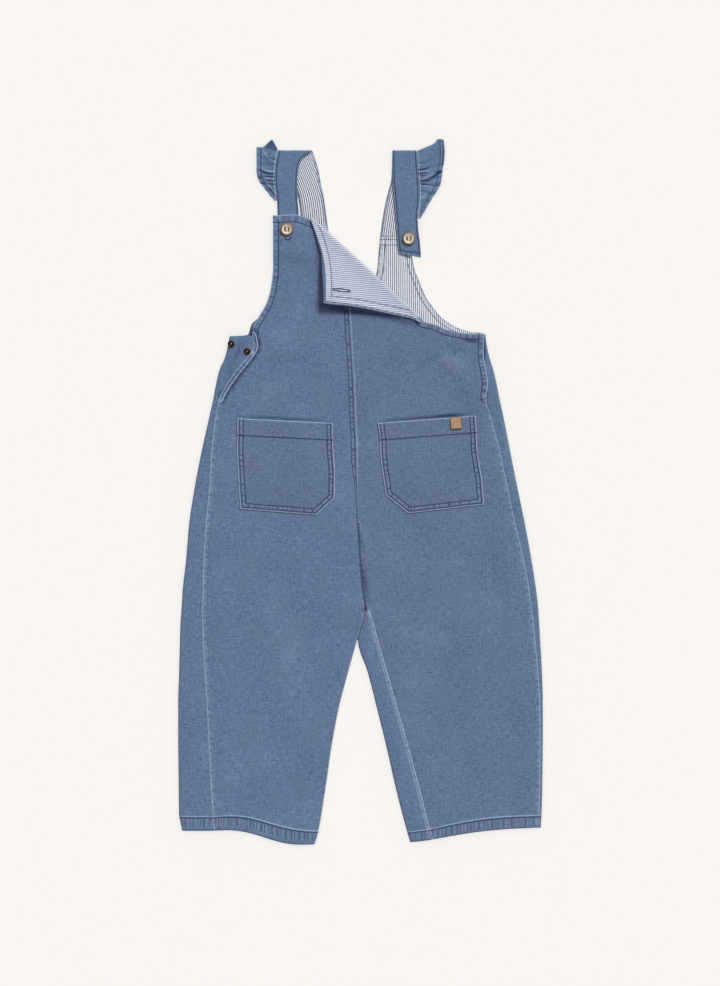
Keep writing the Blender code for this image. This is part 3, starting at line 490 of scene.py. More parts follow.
def refine(knots: Grid, cell: float) -> Grid:
    """Places at every knot and between them.

    Args:
        knots: places to keep, rising.
        cell: about how far apart the others are.

    Returns:
        All of the places, rising.
    """
    counts = [max(1, math.ceil((high - low) / cell)) for low, high in zip(knots, knots[1:])]
    pieces = [np.linspace(*ends, n + 1)[:-1] for *ends, n in zip(knots, knots[1:], counts)]
    return np.append(np.concatenate(pieces), knots[-1])


def shares(width: float, cell: float) -> Grid:
    """Fractions across a panel, closer together near both edges.

    Args:
        width: of the panel.
        cell: about how far apart they are in its middle.

    Returns:
        The fractions, from 0 to 1.
    """
    near_edge = [step / width for step in EDGE_STEPS]
    inner = 1.0 - 2.0 * near_edge[-1]
    count = max(2, math.ceil(inner * width / cell))
    middle = np.linspace(near_edge[-1], 1.0 - near_edge[-1], count + 1)
    return np.concatenate(([0.0], near_edge[:-1], middle, [1.0 - s for s in near_edge[-2::-1]], [1.0]))


def ease(distance: Grid, length: float) -> Grid:
    """1 at no distance, falling smoothly to 0 at a length."""
    return 0.5 * (1.0 + np.cos(np.pi * np.clip(distance / length, 0.0, 1.0)))


def step_up(value: Grid, low: float, high: float) -> Grid:
    """0 below low, 1 above high and a smooth climb between."""
    share = np.clip((value - low) / (high - low), 0.0, 1.0)
    return share * share * (3.0 - 2.0 * share)


def sway(bow: Grid, wave: Grid, share: Grid) -> Grid:
    """How far a line across a panel bows and waves away from straight."""
    return bow * np.sin(np.pi * share) + wave * np.sin(2 * np.pi * share)


def wander(at: Grid, pitch: float, seed: int) -> Grid:
    """Smooth random values from -1 to 1 along a line.

    Args:
        at: places along it.
        pitch: how far apart new values stand.
        seed: of the draw.

    Returns:
        A value for each place.
    """
    places = np.asarray(at, float) / pitch
    low = math.floor(places.min()) - 1
    values = np.random.default_rng(seed).uniform(-1.0, 1.0, math.ceil(places.max()) - low + 3)
    index = np.floor(places).astype(int) - low
    share = step_up(places - np.floor(places), 0.0, 1.0)
    return values[index] * (1.0 - share) + values[index + 1] * share


def hills(x: Grid, y: Grid, pitch: float, seed: int) -> Grid:
    """Smooth random values from -1 to 1 over the plan.

    Args:
        x: across, of each point.
        y: up, of each point.
        pitch: how far apart new values stand.
        seed: of the draw.

    Returns:
        A value for each point.
    """
    size, far_off = 64, 500.0
    values = np.random.default_rng(seed).uniform(-1.0, 1.0, (size, size))
    across, up = x / pitch + far_off, y / pitch + far_off
    i, j = np.floor(across).astype(int), np.floor(up).astype(int)
    a, b = step_up(across - i, 0.0, 1.0), step_up(up - j, 0.0, 1.0)
    low, high = (
        values[i % size, (j + k) % size] * (1 - a) + values[(i + 1) % size, (j + k) % size] * a
        for k in (0, 1)
    )
    return low * (1 - b) + high * b


def roping(along: Grid, pitch: float, seed: int) -> Grid:
    """Uneven puckers along a seam.

    Args:
        along: places along it.
        pitch: about how far apart they are.
        seed: of the draw.

    Returns:
        0 in their troughs and up to 1 on their crests.
    """
    beat = along / pitch + 0.45 * wander(along, pitch * 2.3, seed)
    height = 0.7 + 0.3 * wander(along, pitch * 3.1, seed + 1)
    return (0.5 + 0.5 * np.sin(2 * np.pi * beat)) * height


def near(path: Grid, x: Grid, y: Grid) -> tuple[Grid, Grid]:
    """How points of the plan lie to a path.

    Args:
        path: its points, in the plan.
        x: across, of each point.
        y: up, of each point.

    Returns:
        The distance of each point from the path, and how far along the path it lies.
    """
    line = np.asarray(path, float)[:, :2]
    legs = np.diff(line, axis=0)
    length = np.maximum(np.linalg.norm(legs, axis=1), 1e-6)
    before = np.concatenate(([0.0], np.cumsum(length)))[:-1]
    best = np.full(x.shape, 1e9)
    along = np.zeros(x.shape)
    for start, leg, size, run in zip(line, legs, length, before):
        share = np.clip(((x - start[0]) * leg[0] + (y - start[1]) * leg[1]) / size**2, 0.0, 1.0)
        away = np.hypot(x - start[0] - leg[0] * share, y - start[1] - leg[1] * share)
        closer = away < best
        best = np.where(closer, away, best)
        along = np.where(closer, run + share * size, along)
    return best, along


def aside(path: Grid, offset: Any) -> Grid:
    """A path moved sideways, with mitred corners.

    Args:
        path: its points, in the plan.
        offset: how far, to its left where positive.

    Returns:
        The points of the moved path.
    """
    line = np.asarray(path, float)[:, :2]
    legs = np.diff(line, axis=0)
    legs = legs / np.maximum(np.linalg.norm(legs, axis=1), 1e-9)[:, None]
    normals = np.stack((-legs[:, 1], legs[:, 0]), axis=1)
    first = np.vstack((normals[:1], normals))
    second = np.vstack((normals, normals[-1:]))
    mitre = first + second
    mitre /= np.maximum((mitre * second).sum(axis=1), 0.5)[:, None]
    return line + mitre * offset


def narrowing(along: Grid, whole: float) -> Grid:
    """How much closer the rows of the centre seam draw together towards its lower end."""
    return 1.0 + 3.0 * step_up(along, whole - 75.0, whole)


# ------------------------------------------------------------------ creases and seams


@dataclass(frozen=True)
class Crease:
    """A soft trough, or a ridge where height is positive, through places of the plan.

    shade is how much painted highlight, or below 0 painted shade, it lays on the cloth's colour; one
    crease marks a rubbed pale spot instead.
    """

    width: float
    height: float
    shade: float
    places: tuple[tuple[float, float], ...]

    def swell(self, x: Grid, y: Grid) -> Grid:
        """How strong it is at points of the plan, from 0 to 1.

        Args:
            x: across, of each point.
            y: up, of each point.

        Returns:
            A value for each point.
        """
        path = np.array(self.places, float)
        knots = run_of(path)
        fine = glide(knots, path, np.linspace(0.0, knots[-1], 12))
        away, along = near(fine, x, y)
        share = np.clip(along / run_of(fine)[-1], 0.02, 0.98)
        return np.sin(np.pi * share) ** 0.8 * np.exp(-((away / self.width) ** 2))

    def lift(self, x: Grid, y: Grid) -> Grid:
        """How far it lifts the cloth at points of the plan."""
        return self.height * self.swell(x, y)

    def shade_at(self, x: Grid, y: Grid) -> Grid:
        """The painted highlight, or below 0 the painted shade, that it lays on the cloth at points of the
        plan.
        """
        return self.shade * self.swell(x, y)


def creases(*rows: tuple) -> tuple[Crease, ...]:
    """Creases from rows of their width, height and shade, and then their places."""
    return tuple(Crease(width, height, shade, tuple(places)) for width, height, shade, *places in rows)


@dataclass(frozen=True)
class Seam:
    """How a sewn line looks on the cloth beside it, by distance from the line.

    rows are its stitch rows, rope the band that puckers between them, ridges the lines that
    are rubbed pale, rim how far the very edge is rubbed pale, shadow a band of painted shadow
    beside it (from, to and how much), depth how deep the puckers are and crests how rarely they are pale.
    """

    name: str
    rows: tuple[float, ...] = (2.0, 7.0)
    rope: tuple[float, float] = (2.0, 7.0)
    pitch: float = 6.0
    depth: float = 0.3
    rim: float = 0.0
    rim_width: float = 0.9
    ridges: tuple[float, ...] = ()
    shadow: tuple[float, float, float] | None = None
    ridge_pale: float = 0.85
    rope_pale: float = 0.2
    rope_dark: float = 0.4
    crests: float = 0.36
    furrow: float = 0.85
    seed: int = 1

    def mark(self, path: Grid, x: Grid, y: Grid) -> Grid:
        """Distance from the line and along it, of points of the plan."""
        return np.stack(near(path, x, y), axis=-1)

    def lift(self, marks: Grid) -> Grid:
        """How its furrows, ridges and puckers move the cloth.

        Args:
            marks: distance from the line and along it, of each point.

        Returns:
            The rise of each point.
        """
        away, along = marks[..., 0], marks[..., 1]
        low, high = self.rope
        band = step_up(away, low - 1.2, low + 0.8) * (1.0 - step_up(away, high - 0.8, high + 2.5))
        lift = -self.depth * band * (1.0 - roping(along, self.pitch, self.seed))
        for lines, rise in ((self.rows, -0.22), (self.ridges, 0.2)):
            for line in lines:
                lift = lift + rise * np.exp(-(((away - line) / 0.9) ** 2))
        return lift


def seams_of(**looks: dict[str, Any]) -> dict[str, Seam]:
    """Seams by name, from how each one looks."""
    return {name: Seam(name, **look) for name, look in looks.items()}


# ------------------------------------------------------------------ meshes and cloth


def to_world(points: Grid) -> Grid:
    """Garment millimetres to metres of the frame."""
    moved = np.array(points, float) * MM
    moved[..., 1] -= GARMENT_LENGTH / 2 * MM
    return moved


def new_item(name: str, places: Sequence, edges: Sequence = (), faces: Sequence = ()) -> Item:
    """Makes an object of a mesh.

    Args:
        name: of the object.
        places: of its points, in metres.
        edges: pairs of points.
        faces: rings of points.

    Returns:
        The object, in the scene.
    """
    mesh = bpy.data.meshes.new(name)
    mesh.from_pydata(places, edges, faces)
    item = bpy.data.objects.new(name, mesh)
    bpy.context.scene.collection.objects.link(item)
    return item


def give_values(mesh: bpy.types.Mesh, name: str, values: Grid) -> None:
    """Stores a value, or a vector, for every point of a mesh.

    Args:
        mesh: the mesh.
        name: of the values, which finishes read.
        values: one number, or a row of three, for each point.
    """
    kind, held = ("FLOAT", "value") if values.ndim == 1 else ("FLOAT_VECTOR", "vector")
    mesh.attributes.new(name, kind, "POINT").data.foreach_set(held, values.ravel())


def close_up(mesh: bpy.types.Mesh, weld: float = 0.0, face_down: bool = False) -> None:
    """Merges doubled points and turns all faces the same way.

    Args:
        mesh: the mesh, changed in place.
        weld: how near points are merged, in millimetres.
        face_down: whether its first faces have to look down.
    """
    shape = bmesh.new()
    shape.from_mesh(mesh)
    if weld:
        bmesh.ops.remove_doubles(shape, verts=shape.verts, dist=weld * MM)
    bmesh.ops.recalc_face_normals(shape, faces=shape.faces)
    if face_down and sum(face.normal.z for face in list(shape.faces)[:50]) > 0.0:
        bmesh.ops.reverse_faces(shape, faces=shape.faces)
    shape.to_mesh(mesh)
    shape.free()


def settle_mesh(item: Item) -> None:
    """Turns an object's modifiers into plain mesh."""
    bpy.context.view_layer.update()
    graph = bpy.context.evaluated_depsgraph_get()
    mesh = bpy.data.meshes.new_from_object(item.evaluated_get(graph))
    item.modifiers.clear()
    item.data = mesh


@dataclass
class Patch:
    """Points of a sheet in rows and columns, with where each lies in the cut piece."""

    points: Grid
    cut: Grid
    turned: Grid | None = None
    # paler where rubbed and under painted highlight, darker under painted shade and painted shadow
    wear: Grid | None = None
    seams: dict[str, Grid] = field(default_factory=dict)

    def values(self, name: str) -> Grid:
        """One of its plain values for every point, 0 where it has none."""
        held = getattr(self, name)
        return np.zeros(self.points[..., 0].size) if held is None else held.ravel()

    def marks(self, name: str) -> Grid:
        """A seam's marks for every point, far away where it has none."""
        none = np.full((*self.points.shape[:2], 2), FAR)
        return self.seams.get(name, none).reshape(-1, 2)

    def sew(self, seam: Seam, path: Grid, share: Any = 0.0) -> None:
        """Marks a seam on it and moves it by a share of what the seam moves cloth.

        Args:
            seam: the seam.
            path: its line, in the plan.
            share: one for all, or one for each point.
        """
        marks = seam.mark(path, self.points[..., 0], self.points[..., 1])
        self.seams[seam.name] = marks
        self.points[..., 2] += seam.lift(marks) * share


@dataclass
class Cloth:
    """A piece of cloth: patches welded along their shared edges and given a wall.

    wall is its thickest wall and single the wall where nothing is turned double. Where
    outer_face is true the points are on its outer face, which is the lower one. sewn names
    the seams that its finish reads.
    """

    name: str
    patches: list[Patch]
    wall: float
    finish: Finish
    single: float | None = None
    outer_face: bool = False
    sewn: tuple[str, ...] = ()

    def build(self) -> Item:
        """Makes the piece, at the origin, with its cut as the UV map."""
        item = self.sheet()
        self.give_wall(item)
        self.lay_cut(item.data)
        item.data.materials.append(self.finish)
        item.data.shade_smooth()
        LOG.info("%s: %d triangles", self.name, sum(len(p.vertices) - 2 for p in item.data.polygons))
        return item

    def cut_size(self) -> tuple[float, float, float]:
        """Width and length of what shows of the cut, in metres, and its area in square metres."""
        places = np.concatenate([patch.cut.reshape(-1, 2) for patch in self.patches])
        width, length = (places.max(axis=0) - places.min(axis=0)) * MM
        area = 0.0
        for cut in (patch.cut for patch in self.patches):
            one, two = cut[1:, 1:] - cut[:-1, :-1], cut[1:, :-1] - cut[:-1, 1:]
            area += float(np.abs(one[..., 0] * two[..., 1] - one[..., 1] * two[..., 0]).sum() / 2)
        return float(width), float(length), area * MM**2

    def sheet(self) -> Item:
        """The welded sheet, without a wall."""
        vertices, faces, count = [], [], 0
        for patch in self.patches:
            rows, columns = patch.points.shape[:2]
            index = np.arange(rows * columns).reshape(rows, columns) + count
            corners = (index[:-1, :-1], index[:-1, 1:], index[1:, 1:], index[1:, :-1])
            faces += np.stack(corners, axis=-1).reshape(-1, 4).tolist()
            vertices += to_world(patch.points).reshape(-1, 3).tolist()
            count += rows * columns
        item = new_item(self.name, vertices, faces=faces)
        for name in ("turned", "wear"):
            give_values(item.data, name, np.concatenate([patch.values(name) for patch in self.patches]))
        pairs = {"cut_place": np.concatenate([patch.cut.reshape(-1, 2) for patch in self.patches]) * MM}
        for name in sorted({*self.sewn, *(name for patch in self.patches for name in patch.seams)}):
            pairs[name] = np.concatenate([patch.marks(name) for patch in self.patches])
        for name, values in pairs.items():
            give_values(item.data, name, np.column_stack((values, np.zeros(len(values)))))
        close_up(item.data, 0.02, self.outer_face)
        return item

    def give_wall(self, item: Item) -> None:
        """Gives the sheet its wall, thicker where the cloth is turned double."""
        solid = item.modifiers.new("wall", "SOLIDIFY")
        solid.thickness = self.wall * MM
        solid.offset = -1.0 if self.outer_face else 0.0
        solid.use_quality_normals = True
        if self.single:
            values = np.empty(len(item.data.vertices))
            item.data.attributes["turned"].data.foreach_get("value", values)
            group = item.vertex_groups.new(name="turned double")
            for weight in np.unique(values.round(2)):
                members = np.nonzero(np.abs(values - weight) < 0.006)[0]
                group.add(members.tolist(), float(weight), "REPLACE")
            solid.vertex_group = group.name
            solid.thickness_vertex_group = self.single / self.wall
        settle_mesh(item)

    def lay_cut(self, mesh: bpy.types.Mesh) -> None:
        """Turns where each point lies in the cut piece into the UV map."""
        places = np.empty(len(mesh.vertices) * 3)
        mesh.attributes["cut_place"].data.foreach_get("vector", places)
        corners = np.empty(len(mesh.loops), int)
        mesh.loops.foreach_get("vertex_index", corners)
        layer = mesh.uv_layers.new(name="cut")
        layer.data.foreach_set("uv", places.reshape(-1, 3)[corners, :2].ravel())
        mesh.attributes.remove(mesh.attributes["cut_place"])


def dress(item: Item, *nodes: str, slot: str) -> Item:
    """Makes a piece part of the garment.

    Args:
        item: the piece.
        *nodes: the solids that it stands for, if any.
        slot: its slot; not used.

    Returns:
        The piece.
    """
    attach(item, "root")
    if nodes:
        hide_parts(*nodes)
    return item


class Ground:
    """The finished surface of pieces of cloth, to sew and lay things on."""

    def __init__(self, *items: Item) -> None:
        """Reads the meshes of the pieces."""
        vertices, faces = [], []
        for item in items:
            count = len(vertices)
            vertices += [vertex.co for vertex in item.data.vertices]
            faces += [[count + v for v in face.vertices] for face in item.data.polygons]
        self.tree = BVHTree.FromPolygons(vertices, faces)

    def touch(self, x: float, y: float, below: bool = False) -> tuple[Vector, Vector] | None:
        """The surface over a place of the plan.

        Args:
            x: across, in millimetres.
            y: up, in millimetres.
            below: whether to look from underneath.

        Returns:
            The point and its normal in the frame, or nothing where there is no cloth.
        """
        way = 1.0 if below else -1.0
        start = Vector(to_world(np.array((x, y, 0.0)))) + Vector((0.0, 0.0, -way * 0.1))
        place, normal, _, _ = self.tree.ray_cast(start, Vector((0.0, 0.0, way)))
        return None if place is None else (place, normal)

    def heights(self, x: Grid, y: Grid, default: float) -> Grid:
        """Top of the cloth over places of the plan.

        Args:
            x: across, of each place.
            y: up, of each place.
            default: the height where there is no cloth.

        Returns:
            The heights, in millimetres.
        """
        out = np.full(x.shape, default)
        for index in np.ndindex(x.shape):
            hit = self.touch(float(x[index]), float(y[index]))
            if hit:
                out[index] = hit[0].z / MM
        return out


# ------------------------------------------------------------------ finishes


def linear(colour: str) -> tuple[float, float, float, float]:
    """An sRGB hex colour as linear RGBA."""
    values = [int(colour[i : i + 2], 16) / 255 for i in (1, 3, 5)]
    parts = [v / 12.92 if v <= 0.04045 else ((v + 0.055) / 1.055) ** 2.4 for v in values]
    return (*parts, 1.0)


def dimmed(colour: str, share: float) -> tuple[float, float, float, float]:
    """An sRGB hex colour at a share of its light, as linear RGBA."""
    return (*(share * part for part in linear(colour)[:3]), 1.0)


class Kind(Enum):
    """Kinds of node used here: the node's type, then names and values of its own settings."""

    ADD = ("ShaderNodeMath", "operation", "ADD")
    CAPPED = ("ShaderNodeMath", "operation", "ADD", "use_clamp", True)
    SUBTRACT = ("ShaderNodeMath", "operation", "SUBTRACT")
    TIMES = ("ShaderNodeMath", "operation", "MULTIPLY")
    TIMES_ADD = ("ShaderNodeMath", "operation", "MULTIPLY_ADD")
    MAXIMUM = ("ShaderNodeMath", "operation", "MAXIMUM")
    ABSOLUTE = ("ShaderNodeMath", "operation", "ABSOLUTE")
    SINE = ("ShaderNodeMath", "operation", "SINE")
    FRACTION = ("ShaderNodeMath", "operation", "FRACT")
    RANGE = ("ShaderNodeMapRange",)
    SMOOTH = ("ShaderNodeMapRange", "interpolation_type", "SMOOTHSTEP")
    BLEND = ("ShaderNodeMix", "data_type", "RGBA")
    NOISE = ("ShaderNodeTexNoise",)
    NOISE_ALONG = ("ShaderNodeTexNoise", "noise_dimensions", "1D")
    CELLS = ("ShaderNodeTexVoronoi",)
    SCALED = ("ShaderNodeVectorMath", "operation", "MULTIPLY")
    SPLIT = ("ShaderNodeSeparateXYZ",)
    JOIN = ("ShaderNodeCombineXYZ",)
    ATTRIBUTE = ("ShaderNodeAttribute",)
    UV = ("ShaderNodeUVMap",)
    PLACE = ("ShaderNodeTexCoord",)
    BUMP = ("ShaderNodeBump",)
    INPUT = ("NodeGroupInput",)
    OUTPUT = ("NodeGroupOutput",)
    TO_CURVE = ("GeometryNodeMeshToCurve",)
    RESAMPLE = ("GeometryNodeResampleCurve", "mode", "LENGTH")
    BEAD = ("GeometryNodeMeshUVSphere",)
    INSTANCES = ("GeometryNodeInstanceOnPoints",)
    TANGENT = ("GeometryNodeInputTangent",)
    NAMED = ("GeometryNodeInputNamedAttribute", "data_type", "FLOAT_VECTOR")
    ALIGN = ("FunctionNodeAlignRotationToVector",)
    REALIZE = ("GeometryNodeRealizeInstances",)
    SET_MATERIAL = ("GeometryNodeSetMaterial",)


def put(tree: bpy.types.NodeTree, kind: Kind, *feeds: Any, output: Any = 0, **named: Any) -> Any:
    """Adds a node with its settings and links.

    Args:
        tree: where it goes.
        kind: its kind.
        *feeds: what its inputs take in their order: a value, a socket to link, a tuple of a
            kind and its feeds for a node to add before it, or None to leave one as it is.
        output: which of its outputs to return.
        **named: inputs, which have capital letters, and its own settings, which have none.

    Returns:
        The chosen output socket, or nothing where it has none.
    """
    word, *settings = kind.value
    made = tree.nodes.new(word)
    inputs = dict(enumerate(feeds))
    for name, value in (*zip(settings[::2], settings[1::2]), *named.items()):
        if name[0].isupper():
            inputs[name] = value
        else:
            setattr(made, name, value)
    for socket, value in inputs.items():
        if isinstance(value, tuple) and isinstance(value[0], Kind):
            value = put(tree, *value)
        if isinstance(value, bpy.types.NodeSocket):
            tree.links.new(value, made.inputs[socket])
        elif value is not None:
            made.inputs[socket].default_value = value
    return made.outputs[output] if made.outputs else None


@dataclass
class Surface:
    """A material in the making: its tree, its shader, and the colour and height so far."""

    name: str
    ground: str
    roughness: float
    metallic: float = 0.0
    ior: float = 1.5
    specular: float = 0.5
    height: Any = 0.0

    def __post_init__(self) -> None:
        """Makes the material and sets what is the same all over."""
        self.material = bpy.data.materials.new(self.name)
        self.material.use_nodes = True
        self.tree = self.material.node_tree
        self.shader = self.tree.nodes["Principled BSDF"]
        self.colour: Any = linear(self.ground)
        self.set("Roughness", self.roughness)
        self.set("Metallic", self.metallic)
        self.set("Specular IOR Level", self.specular)
        if not self.metallic:
            self.set("IOR", self.ior)

    def set(self, socket: str, value: float) -> None:
        """Sets one of the shader's own numbers."""
        self.shader.inputs[socket].default_value = value

    def put(self, kind: Kind, *feeds: Any, output: Any = 0, **named: Any) -> Any:
        """Adds a node to the material."""
        return put(self.tree, kind, *feeds, output=output, **named)

    def read(self, name: str, output: str = "Fac") -> Any:
        """A value that the piece's mesh holds for each of its points."""
        return self.put(Kind.ATTRIBUTE, output=output, attribute_name=name)

    def cut(self) -> Any:
        """Place in the cut piece, in millimetres."""
        return self.put(Kind.SCALED, self.put(Kind.UV, uv_map="cut"), (1 / MM,) * 3)

    def here(self) -> Any:
        """Place on the object, in millimetres."""
        return self.put(Kind.SCALED, self.put(Kind.PLACE, output="Object"), (1 / MM,) * 3)

    def grains(self, place: Any, size: tuple[float, float, float], detail: float = 2.0) -> Any:
        """Random values around 0.5, in grains.

        Args:
            place: what they are spread over.
            size: of the grains along each axis, in millimetres.
            detail: how much finer detail they have.

        Returns:
            The values' socket.
        """
        spread = self.put(Kind.SCALED, place, tuple(1.0 / s for s in size))
        return self.put(Kind.NOISE, Vector=spread, Scale=1.0, Detail=detail)

    def layer(self, share: Any, colour: str) -> None:
        """Turns the colour so far towards another.

        Args:
            share: how far, at most the whole way.
            colour: the other, as sRGB hex.
        """
        unused = (None,) * 5
        feeds = ((Kind.CAPPED, share, 0.0), *unused, self.colour, linear(colour))
        self.colour = self.put(Kind.BLEND, *feeds, output=2)

    def finish(self, bump: float = 0.0) -> Finish:
        """Feeds the colour and the height, whose full range is bump millimetres, to the shader."""
        self.tree.links.new(self.colour, self.shader.inputs["Base Color"])
        if bump:
            relief = self.put(Kind.BUMP, Height=self.height, Distance=bump * MM, Strength=0.7)
            self.tree.links.new(relief, self.shader.inputs["Normal"])
        return self.material

    def band(self, away: Any, low: float, high: float) -> Any:
        """A band along a seam.

        Args:
            away: distance from the seam.
            low: distance that it starts at.
            high: distance that it ends at.

        Returns:
            1 in the band and 0 beyond it, with soft edges.
        """
        enter = self.put(Kind.SMOOTH, away, low - 0.3, low + 0.5)
        return self.put(Kind.TIMES, enter, (Kind.SMOOTH, away, high - 0.5, high + 0.6, 1.0, 0.0))

    def sewn(self, seam: Seam, pale: str, dark: str) -> None:
        """Adds the rubbed paleness, a band of painted shadow, roping and stitch furrows along a seam.

        Args:
            seam: the seam, whose marks the mesh holds.
            pale: colour of its rubbed parts.
            dark: colour of its hollows and of its painted shadow.
        """
        marks = self.read(seam.name, "Vector")
        away = self.put(Kind.SPLIT, marks)
        along = self.put(Kind.SPLIT, marks, output=1)
        beat = self.put(Kind.TIMES, along, 1.6 / seam.pitch)
        puckers = self.put(Kind.NOISE_ALONG, W=beat, Scale=1.0, Detail=1.0)
        crest = self.put(Kind.SMOOTH, puckers, seam.crests, seam.crests + 0.24)
        band = self.band(away, *seam.rope)
        light = self.put(Kind.TIMES, band, crest)
        shade = self.put(Kind.TIMES, (Kind.SUBTRACT, band, light), seam.rope_dark)
        light = self.put(Kind.TIMES, light, seam.rope_pale)
        # A band of painted shadow beside the seam, broken where the puckers crest
        if seam.shadow:
            low, high, depth = seam.shadow
            enter = self.put(Kind.SMOOTH, away, low - 0.3, low + 0.5, 0.0, depth)
            leave = self.put(Kind.SMOOTH, away, low + 0.5, high, 1.0, 0.0)
            broken = self.put(Kind.RANGE, crest, 0.0, 1.0, 1.0, 0.55)
            shade = self.put(Kind.MAXIMUM, shade, (Kind.TIMES, (Kind.TIMES, enter, leave), broken))
        for row in seam.rows:
            off = self.put(Kind.ABSOLUTE, (Kind.SUBTRACT, away, row))
            furrow = self.put(Kind.SMOOTH, off, 0.3, 1.1, seam.furrow, 0.0)
            shade = self.put(Kind.MAXIMUM, shade, furrow)
            light = self.put(Kind.TIMES, light, (Kind.SUBTRACT, 1.0, furrow))
        worn_and_shaded = self.put(Kind.NOISE_ALONG, W=(Kind.TIMES, along, 0.3), Scale=1.0)
        patchy = self.put(Kind.SMOOTH, worn_and_shaded, 0.3, 0.6, 0.65, 1.0)
        lines = [(ridge, seam.ridge_pale, 0.5) for ridge in seam.ridges]
        for ridge, share, width in (*lines, (0.0, seam.rim, seam.rim_width)):
            off = self.put(Kind.ABSOLUTE, (Kind.SUBTRACT, away, ridge))
            line = self.put(Kind.SMOOTH, off, width * 0.5, width * 1.5, share, 0.0)
            light = self.put(Kind.TIMES_ADD, line, patchy, light)
            shade = self.put(Kind.TIMES, shade, (Kind.SUBTRACT, 1.0, line))
        self.layer(light, pale)
        self.layer(shade, dark)
        self.height = self.put(Kind.SUBTRACT, (Kind.TIMES_ADD, light, 1.4, self.height), shade)


@dataclass(frozen=True)
class Denim:
    """Light cotton denim, stone-washed: blue warp over pale weft, matt, rubbed pale on its edges, with
    painted highlight and painted shade that its mesh carries.

    Its slubs give a fine, uneven crosshatch, and seams are roped, with dark stitch furrows.
    """

    name: str
    warp: str = "#425477"
    weft: str = "#7789A2"
    pale: str = "#A6B7D0"
    dark: str = "#2E3E62"
    washed: str = "#5B7890"
    seams: tuple[Seam, ...] = ()
    # Real yarns are 0.4 mm: these are as coarse as they need to be to show
    yarn: float = 1.9
    slub: float = 7.5
    twill: float = 1.9
    grain: float = 2.1

    def make(self) -> Finish:
        """Makes the material."""
        made = Surface(self.name, self.warp, roughness=0.92, specular=0.2)
        made.set("Sheen Weight", 0.12)
        made.set("Sheen Roughness", 0.5)
        place = made.cut()
        down = made.grains(place, (self.yarn, self.slub, 1.0), 1.0)
        across = made.grains(place, (self.slub, self.yarn, 1.0), 1.0)
        grain = made.grains(place, (self.grain, self.grain, 1.0), 1.0)
        fade = made.grains(place, (48.0, 60.0, 1.0))
        diagonal = (Kind.ADD, (Kind.SPLIT, place), made.put(Kind.SPLIT, place, output=1))
        ribs = made.put(Kind.SINE, (Kind.TIMES, diagonal, 2 * math.pi / self.twill))
        tone = -1.15
        for part, weight in ((down, 0.65), (across, 0.65), (grain, 0.65), (fade, 0.35), (ribs, 0.05)):
            tone = made.put(Kind.TIMES_ADD, part, weight, tone)
        made.height = made.put(Kind.TIMES_ADD, ribs, 0.15, tone)
        made.layer((Kind.ADD, tone, 0.5), self.weft)
        tint = made.grains(place, (30.0, 38.0, 1.0), 1.0)
        made.layer((Kind.SMOOTH, tint, 0.5, 0.68, 0.0, 0.3), self.washed)
        # The mesh's values: rubbed paleness and painted highlight above 0, painted shade and painted
        # shadow below 0
        wear = made.read("wear")
        made.layer((Kind.TIMES, wear, (Kind.SMOOTH, grain, 0.3, 0.6, 0.6, 1.0)), self.pale)
        made.layer((Kind.TIMES, wear, -1.0), self.dark)
        for seam in self.seams:
            made.sewn(seam, self.pale, self.dark)
        return made.finish(bump=0.22)


@dataclass(frozen=True)
class Ticking:
    """Plain-woven cotton with a narrow navy stripe along its warp, soft and matt."""

    name: str
    ground: str = "#D5D9E3"
    stripe: str = "#6C7795"
    pitch: float = 2.3  # real ticking has 2.1 mm: this is as coarse as it needs to be to show
    cover: float = 0.42
    seams: tuple[Seam, ...] = ()
    pale: str = "#E8ECF3"
    dark: str = "#4A5880"

    def make(self) -> Finish:
        """Makes the material."""
        made = Surface(self.name, self.ground, roughness=0.9, specular=0.2)
        place = made.cut()
        bend = made.grains(place, (9.0, 22.0, 1.0), 1.0)
        grain = made.grains(place, (0.8, 0.8, 1.0), 1.0)
        thread = made.grains(place, (0.7, 5.0, 1.0), 1.0)
        moved = made.put(Kind.TIMES_ADD, bend, 0.9, (Kind.SPLIT, place))
        beat = (Kind.SUBTRACT, (Kind.FRACTION, (Kind.TIMES, moved, 1.0 / self.pitch)), 0.5)
        half, soft = self.cover / 2, 0.09
        line = made.put(Kind.SMOOTH, (Kind.ABSOLUTE, beat), half - soft, half + soft, 1.0, 0.0)
        made.layer((Kind.TIMES, line, (Kind.SMOOTH, thread, 0.2, 0.6, 0.7, 1.0)), self.stripe)
        made.layer((Kind.SMOOTH, grain, 0.35, 0.75, 0.0, 0.16), self.stripe)
        made.height = made.put(Kind.ADD, grain, thread)
        for seam in self.seams:
            made.sewn(seam, self.pale, self.dark)
        return made.finish(bump=0.15)


@dataclass(frozen=True)
class Horn:
    """Turned horn: cream, browner at its rim and middle, with painted shade down its slots and a satin
    polish.
    """

    name: str
    cream: str = "#E2CDB0"
    brown: str = "#6F5645"
    slot_shade: str = "#20150F"
    radius: float = 7.5

    def make(self) -> Finish:
        """Makes the material."""
        made = Surface(self.name, self.cream, roughness=0.34, ior=1.56)
        place = made.here()
        reach = made.read("reach")
        cloud = made.grains(place, (2.2, 2.2, 2.2), 3.0)
        fibre = made.grains(place, (0.8, 5.0, 2.0), 4.0)
        spread = made.put(Kind.TIMES_ADD, cloud, 0.9, reach)
        made.layer((Kind.SMOOTH, fibre, 0.4, 0.8, 0.0, 0.18), self.brown)
        made.layer((Kind.SMOOTH, spread, 2.6, 4.6, 0.7, 0.0), self.brown)
        made.layer((Kind.SMOOTH, spread, self.radius - 1.9, self.radius - 0.8, 0.0, 0.95), self.brown)
        # Painted shade down the slots, where they sink below about half the button's height
        slot_shade_mask = made.put(Kind.SMOOTH, made.read("rub"), 0.3, 0.52, 1.0, 0.0)
        made.layer((Kind.TIMES, slot_shade_mask, (Kind.SMOOTH, reach, 4.6, 5.2, 1.0, 0.0)), self.slot_shade)
        made.height = cloud
        return made.finish(bump=0.05)


